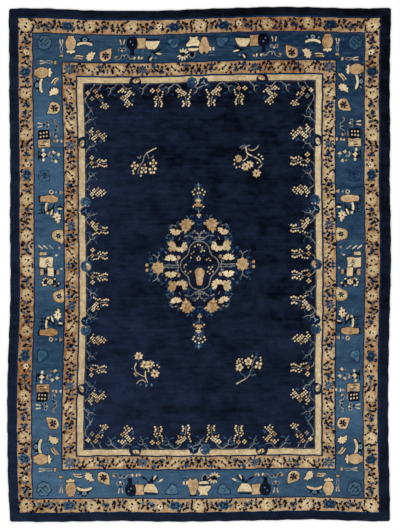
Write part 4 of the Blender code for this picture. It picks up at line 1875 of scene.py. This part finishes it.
FLOOR_WHITE = (0.98, 0.98, 0.98, 1.0)
PIXEL = 0.0072  # of the photograph, on the rug, in metres
PHOTO_WIDTH, PHOTO_HEIGHT = 400, 530
RUG_CENTRE_PIXEL = (199.05, 264.5)
LENS = 0.085
SENSOR = 0.036
FLOOR_SIZE = 20.0  # from its middle to each side, in metres
FLOOR_DROP = 0.0003  # below the rug, so that they don't share a plane
FLOOR_ROUGHNESS = 0.9
ROOM_LIGHT = 0.84
SUN_LIGHT = 0.9
SUN_SPREAD = math.radians(40)
SUN_TILT = (math.radians(35), math.radians(-25), 0)


def build_floor():
    data = bpy.data.meshes.new("floor")
    mesh = bmesh.new()
    bmesh.ops.create_grid(mesh, x_segments=1, y_segments=1, size=FLOOR_SIZE)
    bmesh.ops.translate(mesh, verts=mesh.verts, vec=(0, 0, -FLOOR_DROP))
    mesh.to_mesh(data)
    mesh.free()
    floor = bpy.data.objects.new("floor", data)
    bpy.context.scene.collection.objects.link(floor)
    material = bpy.data.materials.new("pale_floor")
    material.use_nodes = True
    shader = material.node_tree.nodes["Principled BSDF"]
    shader.inputs["Base Color"].default_value = FLOOR_WHITE
    shader.inputs["Roughness"].default_value = FLOOR_ROUGHNESS
    data.materials.append(material)


def build_lights():
    world = bpy.data.worlds.new("soft_room")
    world.use_nodes = True
    background = world.node_tree.nodes["Background"]
    background.inputs["Color"].default_value = (1, 1, 1, 1)
    background.inputs["Strength"].default_value = ROOM_LIGHT
    bpy.context.scene.world = world
    lamp = bpy.data.lights.new("window", "SUN")
    lamp.energy = SUN_LIGHT
    lamp.angle = SUN_SPREAD
    window = bpy.data.objects.new("window", lamp)
    window.rotation_euler = SUN_TILT
    bpy.context.scene.collection.objects.link(window)


def build_camera():
    lens = bpy.data.cameras.new("camera")
    lens.sensor_fit = "VERTICAL"
    lens.sensor_height = SENSOR / MM
    lens.lens = LENS / MM
    camera = bpy.data.objects.new("camera", lens)
    x = (PHOTO_WIDTH / 2 - RUG_CENTRE_PIXEL[0]) * PIXEL
    y = (RUG_CENTRE_PIXEL[1] - PHOTO_HEIGHT / 2) * PIXEL
    distance = PHOTO_HEIGHT * PIXEL * LENS / SENSOR
    camera.location = (x, y, distance + THICKNESS * MM)
    bpy.context.scene.collection.objects.link(camera)
    bpy.context.scene.camera = camera
    bpy.context.scene.view_settings.view_transform = "Standard"


def main():
    build_camera()
    make_groups()
    outline = Outline(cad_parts["rug"])
    pile = wool_material("wool_pile", PILE_ROUGHNESS, PILE_SHEEN, PILE_RELIEF)
    back = wool_material("woven_back", BACK_ROUGHNESS, BACK_SHEEN, BACK_RELIEF)
    tiles = build_pile(outline, pile)
    foundation = build_foundation(outline, back)
    build_floor()
    build_lights()


main()
